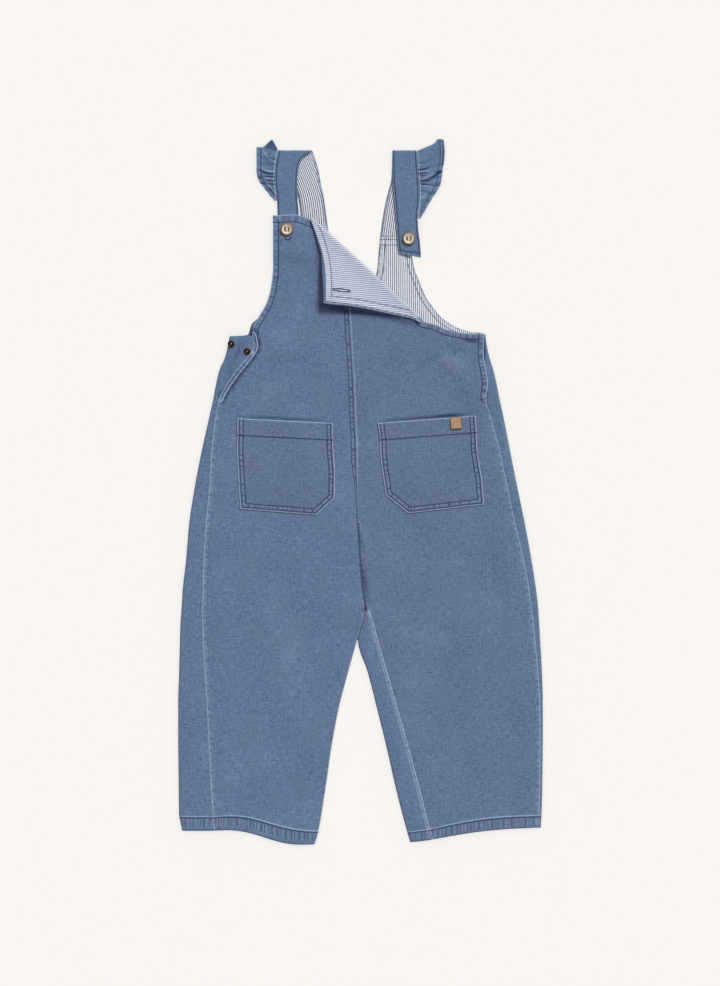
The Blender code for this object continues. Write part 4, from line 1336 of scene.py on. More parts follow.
@dataclass(frozen=True)
class Brass:
    """Pressed brass, antiqued: dark in its hollows and rubbed bright on its crests."""

    name: str
    bright: str = "#A08560"
    dark: str = "#2C2018"

    def make(self) -> Finish:
        """Makes the material."""
        made = Surface(self.name, self.dark, roughness=0.42, metallic=0.85)
        cloud = made.grains(made.here(), (1.2, 1.2, 1.2), 3.0)
        made.layer((Kind.SMOOTH, (Kind.TIMES_ADD, cloud, 0.6, made.read("rub")), 1.0, 1.5), self.bright)
        made.height = cloud
        return made.finish(bump=0.04)


@dataclass(frozen=True)
class Leather:
    """Vegetable-tanned leather, natural: fine pores, darker cut edges, a dull surface."""

    name: str
    tan: str = "#B58D67"
    burnt: str = "#7A5334"

    def make(self) -> Finish:
        """Makes the material."""
        made = Surface(self.name, self.tan, roughness=0.62, ior=1.47)
        place = made.cut()
        pores = made.put(Kind.CELLS, Vector=place, Scale=1.4)
        cloud = made.grains(place, (4.0, 4.0, 1.0), 3.0)
        away = made.put(Kind.SPLIT, made.read("edge", "Vector"))
        made.layer((Kind.SMOOTH, cloud, 0.35, 0.75, 0.0, 0.35), self.burnt)
        made.layer((Kind.SMOOTH, away, 0.2, 1.3, 0.75, 0.0), self.burnt)
        made.height = made.put(Kind.ADD, pores, cloud)
        return made.finish(bump=0.1)


@dataclass(frozen=True)
class Thread:
    """Spun polyester sewing thread: two plies twisted, with a slight gloss."""

    name: str
    colour: str
    ply: float = 0.8  # a ply is 0.2 mm, drawn at 0.8 mm so that the twist shows

    def make(self) -> Finish:
        """Makes the material."""
        made = Surface(self.name, self.colour, roughness=0.6, specular=0.3)
        made.colour = dimmed(self.colour, 0.72)
        twist = made.grains(made.here(), (self.ply,) * 3, 1.0)
        made.layer((Kind.SMOOTH, twist, 0.35, 0.65), self.colour)
        return made.finish()


@dataclass(frozen=True)
class Paper:
    """Seamless background paper: uncoated, with hardly any tooth."""

    name: str
    colour: str

    def make(self) -> Finish:
        """Makes the material."""
        made = Surface(self.name, self.colour, roughness=1.0, specular=0.0)
        made.colour = dimmed(self.colour, 0.995)
        made.layer(made.grains(made.here(), (3.0, 3.0, 3.0)), self.colour)
        return made.finish()


# ------------------------------------------------------------------ stitching


class Yarn(Enum):
    """Threads: colour, stitch length, gap between stitches and thickness, in millimetres."""

    INDIGO = ("#35456B", 2.6, 0.8, 0.55)
    FINE = ("#5C6886", 2.0, 0.9, 0.4)
    PALE = ("#B9C6DC", 2.4, 0.9, 0.55)
    NAVY = ("#2F3B5E", 0.5, 0.05, 1.5)
    # a black stand-in for the shade inside the buttons' slots
    BLACK = ("#14130F", 1.2, 0.0, 0.6)
    WHITE = ("#F2F0EC", 1.9, 0.1, 0.6)


def stitch_tree() -> bpy.types.NodeTree:
    """Geometry nodes that lay one stitch after another along lines.

    Returns:
        The tree, whose inputs are the pitch, length and thickness of a stitch and its thread.
    """
    tree = bpy.data.node_groups.new("stitches", "GeometryNodeTree")
    sockets = [("Geometry", "INPUT", "Geometry"), ("Geometry", "OUTPUT", "Geometry")]
    sockets += [(name, "INPUT", "Float") for name in ("pitch", "length", "thickness")]
    for name, way, kind in (*sockets, ("thread", "INPUT", "Material")):
        tree.interface.new_socket(name, in_out=way, socket_type="NodeSocket" + kind)
    lines = put(tree, Kind.INPUT, output="Geometry")
    given = lines.node.outputs
    points = put(tree, Kind.RESAMPLE, Curve=(Kind.TO_CURVE, lines), Length=given["pitch"])
    bead = put(tree, Kind.BEAD, Segments=6, Rings=4, Radius=0.5)
    along = put(tree, Kind.ALIGN, Vector=put(tree, Kind.TANGENT), axis="X")
    normal = put(tree, Kind.NAMED, Name="normal")
    upright = put(tree, Kind.ALIGN, Rotation=along, Vector=normal, axis="Z", pivot_axis="X")
    size = put(tree, Kind.JOIN, given["length"], given["thickness"], given["thickness"])
    rows = put(tree, Kind.INSTANCES, Points=points, Instance=bead, Rotation=upright, Scale=size)
    whole = put(tree, Kind.REALIZE, rows)
    done = put(tree, Kind.SET_MATERIAL, Geometry=whole, Material=given["thread"])
    put(tree, Kind.OUTPUT, done)
    return tree


@dataclass
class Stitching:
    """Rows of stitches sewn on finished cloth, all of one thread in one piece."""

    tree: bpy.types.NodeTree
    runs: dict[Yarn, list[list[tuple[Vector, Vector]]]] = field(default_factory=dict)

    def sew(self, ground: Ground, *paths: Any, yarn: Yarn = Yarn.INDIGO, below: bool = False) -> None:
        """Lays rows of stitches on cloth.

        Args:
            ground: the cloth.
            *paths: the line of each row, in the plan.
            yarn: the thread.
            below: whether they show on the cloth's under side.
        """
        for path in paths:
            line = np.asarray(path, float)[:, :2]
            run = run_of(line)
            places = np.arange(0.0, run[-1], min(1.2, run[-1] / 3))
            row = []
            for x, y in zip(np.interp(places, run, line[:, 0]), np.interp(places, run, line[:, 1])):
                hit = ground.touch(x, y, below)
                if hit:
                    row.append((hit[0] + hit[1] * yarn.value[3] * 0.12 * MM, hit[1]))
            if len(row) > 1:
                self.runs.setdefault(yarn, []).append(row)

    def lay(self, points: Sequence[tuple[float, float, float]], yarn: Yarn) -> None:
        """Lays thread through places of its own.

        Args:
            points: the places, in garment millimetres.
            yarn: the thread.
        """
        line = np.array(points, float)
        run = run_of(line)
        places = np.linspace(0.0, run[-1], max(3, math.ceil(run[-1] / 0.5)))
        fine = np.stack([np.interp(places, run, line[:, axis]) for axis in range(3)], axis=1)
        row = [(Vector(place), Vector((0.0, 0.0, 1.0))) for place in to_world(fine)]
        self.runs.setdefault(yarn, []).append(row)

    def build(self, finishes: dict[Any, Finish]) -> None:
        """Makes every row sewn so far, one piece for each thread."""
        for yarn, rows in self.runs.items():
            starts = np.cumsum([0] + [len(row) for row in rows])
            edges = [(i, i + 1) for s, row in zip(starts, rows) for i in range(s, s + len(row) - 1)]
            places = [place for row in rows for place, _ in row]
            item = new_item(f"stitches_{yarn.name.lower()}", places, edges)
            give_values(item.data, "normal", np.array([normal for row in rows for _, normal in row]))
            _, length, gap, thick = yarn.value
            values = {"pitch": (length + gap) * MM, "length": length * MM, "thickness": thick * MM}
            values["thread"] = finishes[yarn]
            laid = item.modifiers.new("rows", "NODES")
            laid.node_group = self.tree
            for socket in self.tree.interface.items_tree:
                if socket.name in values:
                    laid[socket.identifier] = values[socket.name]
            settle_mesh(item)
            item.data.shade_smooth()
            LOG.info("%s: %d faces", item.name, len(item.data.polygons))
            dress(item, slot="washed_denim")


# ------------------------------------------------------------------ panels


def hemmed(rows: Sequence[BodyRow]) -> list[tuple[BodyRow, float]]:
    """The rows of a body table with a mark for each: 1 in the hem, whose wall starts with a step."""
    top, edge = rows[-2:]
    step = BodyRow(*(part_way(a, b, HEM_STEP) for a, b in zip(top, edge)))
    return [(row, 0.0) for row in rows[:-1]] + [(step, 1.0), (edge, 1.0)]


def turn_normal() -> Grid:
    """Unit direction in the plan that the fold of the bib corner bulges to."""
    along = np.subtract(TURN_END, TURN_START)
    along = along / np.linalg.norm(along)
    return np.array((-along[1], along[0]))


def turn_patch(roots: Grid, radius: float, start: float, wear: float) -> Patch:
    """Cloth round the turn of the bib corner.

    Args:
        roots: points of the line that it turns on.
        radius: of the turn.
        start: angle that it begins at, in degrees.
        wear: how far the fold is rubbed pale.

    Returns:
        A patch with a row for each point, from the bib up to the turned corner.
    """
    angles = np.radians(np.linspace(start, 180.0, TURN_STEPS))
    places = roots[:, None] + np.outer(radius * np.sin(angles), turn_normal())
    level = TURN_LEVEL + TURN_RADIUS - radius * np.cos(angles)
    cut = roots[:, None] + np.outer(radius * angles, turn_normal())
    worn_and_shaded = np.broadcast_to(wear * np.sin(angles) ** 4, places.shape[:2])
    return Patch(joined(places[..., 0], places[..., 1], level), cut, wear=worn_and_shaded)


def flap_patch(table: Grid, columns: int, radius: float, rise: float, lift: float = 0.0) -> Patch:
    """The turned corner from its root to its free edge.

    Args:
        table: root x, root y, edge x, edge y and bow of each row.
        columns: how many columns it has.
        radius: of the turn that it comes from.
        rise: how far it lies above the turned denim.
        lift: how far the cloth waves.

    Returns:
        The patch, whose cut is where it would lie unfolded.
    """
    u = np.linspace(0.0, 1.0, columns)
    root_x, root_y, edge_x, edge_y, bow = columns_of(table)
    x, y = part_way(root_x, edge_x, u) + sway(bow, 0.0, u), part_way(root_y, edge_y, u)
    normal, top = turn_normal(), TURN_LEVEL + 2 * TURN_RADIUS
    off = (joined(x, y) - TURN_START) @ normal
    inside = np.abs(off)
    z = part_way(FLAP_LEVEL, top, ease(inside, FLAP_SETTLE)) + rise
    z = z + lift * step_up(inside, *CORNER_UNEVEN) * hills(x, y, 24.0, CORNER_SEED)
    z = z + CORNER_SPRING * step_up(inside, *CORNER_SPRINGS)
    cut = joined(x, y) + (radius * math.pi - 2 * off)[..., None] * normal
    return Patch(joined(x, y, z), cut)


@dataclass
class Panel:
    """One half of the front or the back, from its rows above and below the underarm."""

    name: str
    side: float
    head: tuple
    body: tuple[BodyRow, ...]
    finish: Finish
    seams: dict[str, Seam]
    creases: tuple[Crease, ...]
    seed: int

    def spread(self, rows: Sequence, ends: Sequence, cell: float, corners: Sequence[int]) -> None:
        """Refines its rows.

        Args:
            rows: values of each row.
            ends: which of them are x and y at one end, and at the other.
            cell: about how far apart refined rows are.
            corners: indexes of rows where its edges may turn sharply.
        """
        table = np.array(rows, float)
        self.knots = run_of((table[:, ends[0]] + table[:, ends[1]]) / 2)
        self.at = refine(self.knots, cell)
        self.fine = glide(self.knots, table, self.at, corners)

    def between(self, first: int, last: int = -1) -> Grid:
        """Which refined rows lie from one table row to another, or to the last."""
        return (self.at > self.knots[first] - 1e-6) & (self.at < self.knots[last] + 1e-6)

    def row_at(self, index: int) -> Grid:
        """The refined row at a table row."""
        return self.fine[np.argmin(np.abs(self.at - self.knots[index]))][None]

    def hem_marks(self, x: Grid) -> Grid:
        """Distance below the hem's top line and place across, of points in the last rows."""
        return joined((self.at[-len(x) :] - self.knots[HEM_TOP])[:, None], x)

    def folds(self, x: Grid, y: Grid) -> Grid:
        """How its creases lift points of the plan."""
        return sum(crease.lift(x, y) for crease in self.creases)

    def worn_and_shaded(self, x: Grid, y: Grid) -> Grid:
        """How much painted highlight and painted shade its creases lay on points of the plan, with any
        rubbed pale spot.
        """
        return sum(crease.shade_at(x, y) for crease in self.creases)


@dataclass
class Front(Panel):
    """One half of the front, bib and leg in one, with its share of the turned corner.

    turned is how many bib rows have the corner on them, and at_seam its part at the centre seam.
    """

    turned: int
    at_seam: tuple[FlapRow, ...] = ()

    def __post_init__(self) -> None:
        """Refines the tables."""
        rows = []
        for row in self.head:
            outer = (row.outer_x, row.outer_y, row.outer_level)
            inner = (row.inner_x, row.inner_y, row.inner_level)
            rows.append((*outer, *inner, BIB_LEVEL, 0.0, row.bow, row.wave, 0.0))
        for row, turned in hemmed(self.body):
            wall = part_way(DENIM, LEG_HEM, turned)
            rest = row.floor + GAP + wall / 2
            edge = FOLD_TOP - wall / 2
            outer = (row.seam_x, row.side_y, edge + PLACKET_RISE * min(row.lap / PLACKET_START, 1.0))
            inner = (row.front_x, row.inner_y, part_way(rest, edge, row.rise))
            flat = row.lap + 2.0 if row.lap else 0.0
            rows.append((*outer, *inner, rest, flat, row.bow, row.wave, turned))
        self.spread(rows, ((0, 1), (3, 4)), ROW_CELL, (self.turned - 1, len(self.head)))

    def edge(self, first: int, last: int = -1, inner: bool = False) -> Grid:
        """Its outer or inner edge from one table row to another, or to the last."""
        return self.fine[self.between(first, last)][:, (3, 4) if inner else (0, 1)]

    def paths(self) -> dict[str, Grid]:
        """The line of every seam in the plan."""
        bib, left = len(self.head), self.side == LEFT
        armhole = self.edge(0 if left else self.turned - 1, bib)
        lines = {
            "armhole": armhole[run_of(armhole) > TOP_BAND] if left else armhole,
            "placket": self.edge(bib, bib + PLACKET_ROWS),
            "outseam": self.edge(bib + PLACKET_ROWS),
            "centre": self.edge(self.turned - 1 if left else 0, bib + FORK_START, inner=True),
            "fork": self.edge(bib + FORK_START, bib + LEG_START, inner=True),
            "inseam": self.edge(bib + LEG_START, inner=True),
        }
        return lines | {"top": self.across(0)} if left else lines

    def across(self, index: int) -> Grid:
        """The line of one table row across the panel."""
        return joined(*self.plan(self.row_at(index), np.linspace(0.0, 1.0, LINE_STEPS)))[0]

    def plan(self, rows: Grid, u: Grid) -> tuple[Grid, Grid]:
        """Where shares of the way across rows lie in the plan."""
        outer_x, outer_y, _, inner_x, inner_y, _, _, _, bow, wave, _ = columns_of(rows)
        return part_way(outer_x, inner_x, u), part_way(outer_y, inner_y, u) + sway(bow, wave, u)

    def base(self) -> Patch:
        """The panel itself."""
        u = shares(PANEL_WIDTH, COLUMN_CELL)
        x, y = self.plan(self.fine, u)
        outer_x, _, outer_z, inner_x, _, inner_z, rest, flat, _, _, turned = columns_of(self.fine)
        width = np.abs(inner_x - outer_x)
        from_outer, from_inner = width * u, width * (1.0 - u)
        z = rest + (outer_z - rest) * ease(from_outer - flat, SETTLE)
        z = z + (inner_z - rest) * ease(from_inner, SETTLE)
        left, right, lower = STRAP_UNDER_BIB
        off = np.hypot(np.maximum(np.maximum(left - x, x - right), 0.0), np.maximum(lower - y, 0.0))
        over_strap = part_way(BIB_LEVEL, BIB_OVER_STRAP, ease(off, STRAP_SETTLE))
        z = np.where(y > BACK_FACING_END, np.maximum(z, over_strap), z)
        from_end = np.minimum(self.at + FREE[0], self.at[-1] - self.at)[:, None]
        free = step_up(np.minimum(np.minimum(from_outer, from_inner), from_end), *FREE)
        uneven = 0.4 * hills(x, y, 36.0, self.seed) + 0.18 * hills(x, y, 16.0, self.seed + 1)
        z = z + free * (AIR + uneven + self.folds(x, y))
        seams = {"hem": self.hem_marks(x)}
        for part, path in self.paths().items():
            seams[part] = self.seams[part].mark(path, x, y)
            if part == "centre":
                seams[part][..., 0] *= narrowing(seams[part][..., 1], run_of(path)[-1])
        for part, marks in seams.items():
            z = z + self.seams[part].lift(marks)
        turned = np.broadcast_to(turned, x.shape)
        return Patch(joined(x, y, z), joined(x, y), turned, self.worn_and_shaded(x, y), seams)

    def corner(self) -> list[Patch]:
        """The turn and its part of the turned corner."""
        edge = np.array([(row.flap_x, row.flap_y) for row in self.head[: self.turned]], float)
        edges = glide(self.knots[: self.turned], edge, self.at[self.between(0, self.turned - 1)])
        roots = self.edge(0, self.turned - 1, inner=self.side == LEFT)
        rows = np.column_stack((roots, edges, np.zeros(len(roots))))
        if self.at_seam:
            more = np.array([*self.at_seam, tuple(rows[0])], float)
            knots = run_of(more[:, 2:4])
            rows = np.vstack((glide(knots, more, refine(knots, COLUMN_CELL))[:-1], rows))
        flap = flap_patch(rows, FLAP_COLUMNS, TURN_RADIUS, 0.0)
        if self.side == RIGHT:
            flap.sew(self.seams["corner"], flap.points[:, -1].copy())
        return [turn_patch(roots, TURN_RADIUS, 0.0, CORNER_WEAR), flap]

    def cloth(self) -> Cloth:
        """The panel."""
        patches, sewn = [self.base(), *self.corner()], tuple(self.seams)
        return Cloth(self.name, patches, LEG_HEM, self.finish, DENIM, sewn=sewn)


@dataclass
class Back(Panel):
    """One back half by its outer face, which rolls round to the front at its sides.

    Its rows hold x at both ends of the flat part, y at the side and the middle, x where those
    are, bow, wave, 1 in the hem and x of the edge that shows at the side opening.
    """

    def __post_init__(self) -> None:
        """Refines the tables."""
        rows = []
        for row in self.head:
            ends = (row.armhole_x, row.neck_x)
            rows.append((*ends, row.y, row.y, *ends, 0.0, 0.0, 0.0, 0.0))
        for number, (row, turned) in enumerate(hemmed(self.body)):
            leg = self.side == RIGHT and number >= LEG_START
            ends = (row.side_x - self.side * FOLD_OUTER_RADIUS, row.back_x + FOLD_OUTER_RADIUS * leg)
            place = (row.side_y, row.inner_y, row.seam_x, row.front_x)
            rows.append((*ends, *place, row.bow, row.wave, turned, row.seam_x - self.side * row.lap))
        self.spread(rows, ((0, 2), (1, 3)), BACK_CELL, (len(self.head), NECK_ROWS - 1))

    def height(self, rows: Grid, x: Grid) -> Grid:
        """Height of sections at points across them.

        Args:
            rows: the sections.
            x: places across each of them.

        Returns:
            The y of each place.
        """
        _, _, side_y, inner_y, seam_x, front_x, bow, wave, _, _ = columns_of(rows)
        share = np.maximum((x - seam_x) / (front_x - seam_x), 0.0)
        return part_way(side_y, inner_y, share) + sway(bow, wave, np.minimum(share, 1.0))

    def line(self, rows: Grid, column: int) -> Grid:
        """The line in the plan of one of the x values of rows."""
        x = rows[:, column : column + 1]
        return np.hstack((x, self.height(rows, x)))

    def centre(self) -> Grid:
        """The line of the centre seam."""
        return self.fine[self.between(NECK_ROWS, len(self.head) + LEG_START)][:, (1, 3)]

    def flat(self) -> Patch:
        """The part that lies on the surface."""
        start, end, *_, turned, _ = columns_of(self.fine)
        x = part_way(start, end, np.linspace(0.0, 1.0, BACK_COLUMNS))
        y = self.height(self.fine, x)
        turned, seams = np.broadcast_to(turned, x.shape), {"hem": self.hem_marks(x)}
        patch = Patch(joined(x, y, 0.0), joined(x, y), turned, self.worn_and_shaded(x, y), seams)
        patch.sew(self.seams["back_centre"], self.centre())
        return patch

    def roll(self, rows: Grid, fold: int, edge: int, outward: float, columns: int) -> Patch:
        """The cloth from the surface round a fold and on over the front to its edge.

        Args:
            rows: the refined rows that it runs along.
            fold: which of their values is x of the fold's centre.
            edge: which of them is x of the edge.
            outward: which way the fold bulges.
            columns: how many columns the part past the fold has.

        Returns:
            The patch.
        """
        centre, end, turned = (rows[:, i : i + 1] for i in (fold, edge, 8))
        angles = np.radians(np.linspace(0.0, 180.0, TURN_STEPS))
        round_x = centre + outward * FOLD_OUTER_RADIUS * np.sin(angles)
        bend = (FOLD_OUTER_RADIUS * (1.0 - np.cos(angles)), FOLD_OUTER_RADIUS * angles)
        round_z, arc = (np.broadcast_to(part, round_x.shape) for part in bend)
        u, width = np.linspace(0.0, 1.0, columns)[1:], np.abs(end - centre)
        over_x = part_way(centre, end, u)
        puff = ROLL_PUFF * np.sin(np.pi * u) * np.clip(width / 30.0, 0.0, 1.0)
        over_z = FOLD_TOP + puff * (1.0 + 0.8 * wander(self.height(rows, over_x), 26.0, self.seed))
        x, z = np.hstack((round_x, over_x)), np.hstack((round_z, over_z))
        y = self.height(rows, x)
        reach = np.hstack((arc, math.pi * FOLD_OUTER_RADIUS + width * u))
        cut, seams = joined(centre + outward * reach, y), {"hem": self.hem_marks(x)}
        return Patch(joined(x, y, z), cut, np.broadcast_to(turned, x.shape), seams=seams)

    def sides(self) -> list[Patch]:
        """The parts that roll round to the front."""
        upper = len(self.head)
        rows = self.fine[self.between(upper)]
        outer = self.roll(rows, 0, 9, self.side, 14)
        below = self.between(upper + PLACKET_ROWS)[self.between(upper)]
        x, y, z = np.moveaxis(outer.points.copy(), -1, 0)
        top = z > FOLD_TOP - 0.2
        outer.sew(self.seams["back_outseam"], self.line(rows[below], 4), top)
        outer.sew(self.seams["back_placket"], self.line(rows[~below], 9), top)
        outer.points[..., 2] += self.folds(x, y) * top
        outer.wear = self.worn_and_shaded(x, y) * top
        if self.side == LEFT:
            return [outer]
        rows = self.fine[self.between(upper + LEG_START)]
        inner = self.roll(rows, 1, 5, LEFT, 12)
        inner.sew(self.seams["back_inseam"], self.line(rows, 5))
        return [outer, inner]

    def rows_below(self) -> list[Grid]:
        """The rows of stitches on the under side: centre seam and hem."""
        rows = [aside(self.centre(), self.side * row) for row in self.seams["back_centre"].rows]
        line = self.row_at(HEM_TOP)
        x = np.linspace(line[0, 0], line[0, 1], LINE_STEPS)
        return [*rows, joined(x, self.height(line, x[None])[0] - HEM_SEWN)]

    def cloth(self) -> Cloth:
        """The panel."""
        patches, sewn = [self.flat(), *self.sides()], tuple(self.seams)
        return Cloth(self.name, patches, LEG_HEM, self.finish, DENIM, outer_face=True, sewn=sewn)


@dataclass
class Facings:
    """The striped facings of the turned bib corner and of the back, and their rows of stitches."""

    corner_finish: Finish
    back_finish: Finish
    seams: dict[str, Seam]
    corner_rows: list[Grid] = field(default_factory=list)
    back_rows: list[Grid] = field(default_factory=list)

    def corner(self) -> Cloth:
        """The bib facing: it comes round the turn outside the denim and lies on the flap."""
        table = np.array(FLAP_FACING, float)
        knots = run_of(table[:, :2])
        rows = glide(knots, table, refine(knots, TRIM_CELL))
        radius = TURN_RADIUS + FLAP_FACING_RISE
        turn = turn_patch(rows[:, :2], radius, FACING_ROLL, 0.0)
        flap = flap_patch(rows, FACING_COLUMNS, radius, FLAP_FACING_RISE, 0.25)
        rim, seam = np.vstack((flap.points[0, :, :2], flap.points[1:, -1, :2])), self.seams["corner_rim"]
        flap.sew(seam, rim, 1.0)
        self.corner_rows += [aside(rim, row) for row in seam.rows]
        return Cloth("bib_facing_cloth", [turn, flap], TICKING, self.corner_finish)

    def back(self) -> Cloth:
        """The facing on the back's inner face, in one piece round the neckline."""
        patches = [self.half(LEFT, LEFT_BACK, LEFT_BODY), self.half(RIGHT, RIGHT_BACK, RIGHT_BODY)]
        return Cloth("back_facing_cloth", patches, TICKING, self.back_finish)

    def half(self, side: float, upper: tuple[BackRow, ...], body: tuple[BodyRow, ...]) -> Patch:
        """One half of the back facing.

        Args:
            side: which one.
            upper: its rows.
            body: the rows of the body below them.

        Returns:
            The patch.
        """
        inset, middle, rows = side * LINING_INSET, LEFT_BACK[-1].neck_x, []
        for number, row in enumerate(upper):
            neck_x = row.neck_x + inset if number < NECK_ROWS else middle
            hidden = UNDERARM_INSET if side == LEFT and row.y < UNDERARM else 0.0
            rows.append((row.armhole_x - inset + hidden, neck_x, row.y))
        rows.append((body[0].side_x - side * UNDERARM_REACH, middle, BACK_FACING_END))
        table = np.array(rows, float)
        knots = run_of(joined(table[:, :2].mean(axis=1), table[:, 2]))
        fine = glide(knots, table, refine(knots, FACING_CELL), corners=(NECK_ROWS - 1, NECK_ROWS))
        u = shares(FACING_WIDTH, COLUMN_CELL)
        start, end, y = columns_of(fine)
        x, y = np.broadcast_arrays(part_way(start, end, u), y)
        inside = np.minimum(u, 1.0 - u) * np.abs(end - start)
        z = FACING_LEVEL + 0.35 * step_up(inside, 4.0, 14.0) * (1.0 + hills(x, y, 22.0, 5))
        patch = Patch(joined(x, y, z), joined(x, y))
        neck = fine[:, 2] > upper[NECK_ROWS - 1].y - 1e-6
        for part, path, way in (
            ("facing_neck", fine[neck][:, 1:3], side),
            ("facing_armhole", fine[:, (0, 2)], -side),
            ("facing_top", fine[0, [(0, 2), (1, 2)]], side),
        ):
            patch.sew(self.seams[part], path, 0.4)
            self.back_rows += [aside(path, way * row) for row in self.seams[part].rows]
        return patch


# ------------------------------------------------------------------ straps, ruffles and pockets


@dataclass
class Strap:
    """A shoulder strap that folds over the shoulder, with its striped lining."""

    side: float
    front: tuple[StrapRow, ...]
    back: tuple[StrapRow, ...]
    seams: dict[str, Seam]
    slant: float = 0.0

    def rows(self, rise: float, inset: float) -> tuple[Grid, Grid]:
        """Sections along the strap or its lining.

        Args:
            rise: how far it lies to the inside of the strap.
            inset: how far inside the strap's edges it ends.

        Returns:
            The y, left, right and level of each section, and how far along it is.
        """
        front, back = np.array(self.front, float), np.array(self.back, float)
        if rise:
            front[0, 0] += LINING_INSET
        up, down = (glide(run_of(half), half, refine(run_of(half), TRIM_CELL)) for half in (front, back))
        rows = [np.column_stack((up, np.full(len(up), STRAP_LEVEL - rise)))]
        for angle in np.radians(np.linspace(0.0, 180.0, STRAP_FOLD_STEPS))[1:-1]:
            row = part_way(front[-1], back[0], angle / math.pi)
            row[0] += (STRAP_RADIUS - rise) * math.sin(angle)
            level = DENIM / 2 + STRAP_RADIUS + (STRAP_RADIUS - rise) * math.cos(angle)
            rows.append(np.array([[*row, level]]))
        rows.append(np.column_stack((down, np.full(len(down), DENIM / 2 + rise))))
        table = np.vstack(rows)
        table[:, 1:3] += (inset, -inset)
        return table, run_of(np.column_stack((table[:, 1:3].mean(axis=1), table[:, 0], table[:, 3])))

    def patch(self, rise: float, inset: float, seam: Seam) -> Patch:
        """The strap's sheet, or its lining's.

        Args:
            rise: how far it lies to the inside of the strap.
            inset: how far inside the strap's edges it ends.
            seam: the seam along its edges.

        Returns:
            The patch.
        """
        table, run = self.rows(rise, inset)
        u = shares(STRAP_WIDTH, TRIM_CELL)
        y, left, right, level = columns_of(table)
        width = right - left
        across, along = np.broadcast_arrays(width * u, run[:, None])
        marks = joined(np.minimum(across, width * (1.0 - u)), along)
        crown = 0.0 if rise else STRAP_CROWN * np.sin(np.pi * u) * (1.0 + wander(along, 19.0, 3))
        shows = (along < run[-1] * 0.5) != bool(rise)
        z = level + np.where(shows, crown + seam.lift(marks) * 0.6, 0.0)
        slant = self.slant * (0.5 - u) * ease(along, 16.0)
        seams = {seam.name: marks, "strap_end": joined(along, across)}
        return Patch(joined(left + across, y + slant, z), joined(across, along), seams=seams)

    def stitch_rows(self) -> list[Grid]:
        """The rows of stitches along both edges of the front, and across its end."""
        edge, drop = self.seams["strap"].rows[0], self.slant * 0.5
        y, left, right = np.array(self.front, float).T
        y[0] += self.seams["strap_end"].rows[0]
        one, two = joined(left + edge, y), joined(right - edge, y - drop)
        return [one, two, np.array((one[0] + (0.0, drop), two[0]))]

    def cloths(self, denim: Finish, ticking: Finish) -> list[Cloth]:
        """The strap and its lining.

        Args:
            denim: finish of the strap.
            ticking: finish of its lining.

        Returns:
            Both pieces of cloth.
        """
        label = "left" if self.side == LEFT else "right"
        outer = self.patch(0.0, 0.0, self.seams["strap"])
        lining = self.patch(FLAP_FACING_RISE, LINING_INSET, self.seams["lining"])
        return [
            Cloth(f"strap_{label}_cloth", [outer], DENIM, denim),
            Cloth(f"strap_lining_{label}_cloth", [lining], TICKING, ticking),
        ]


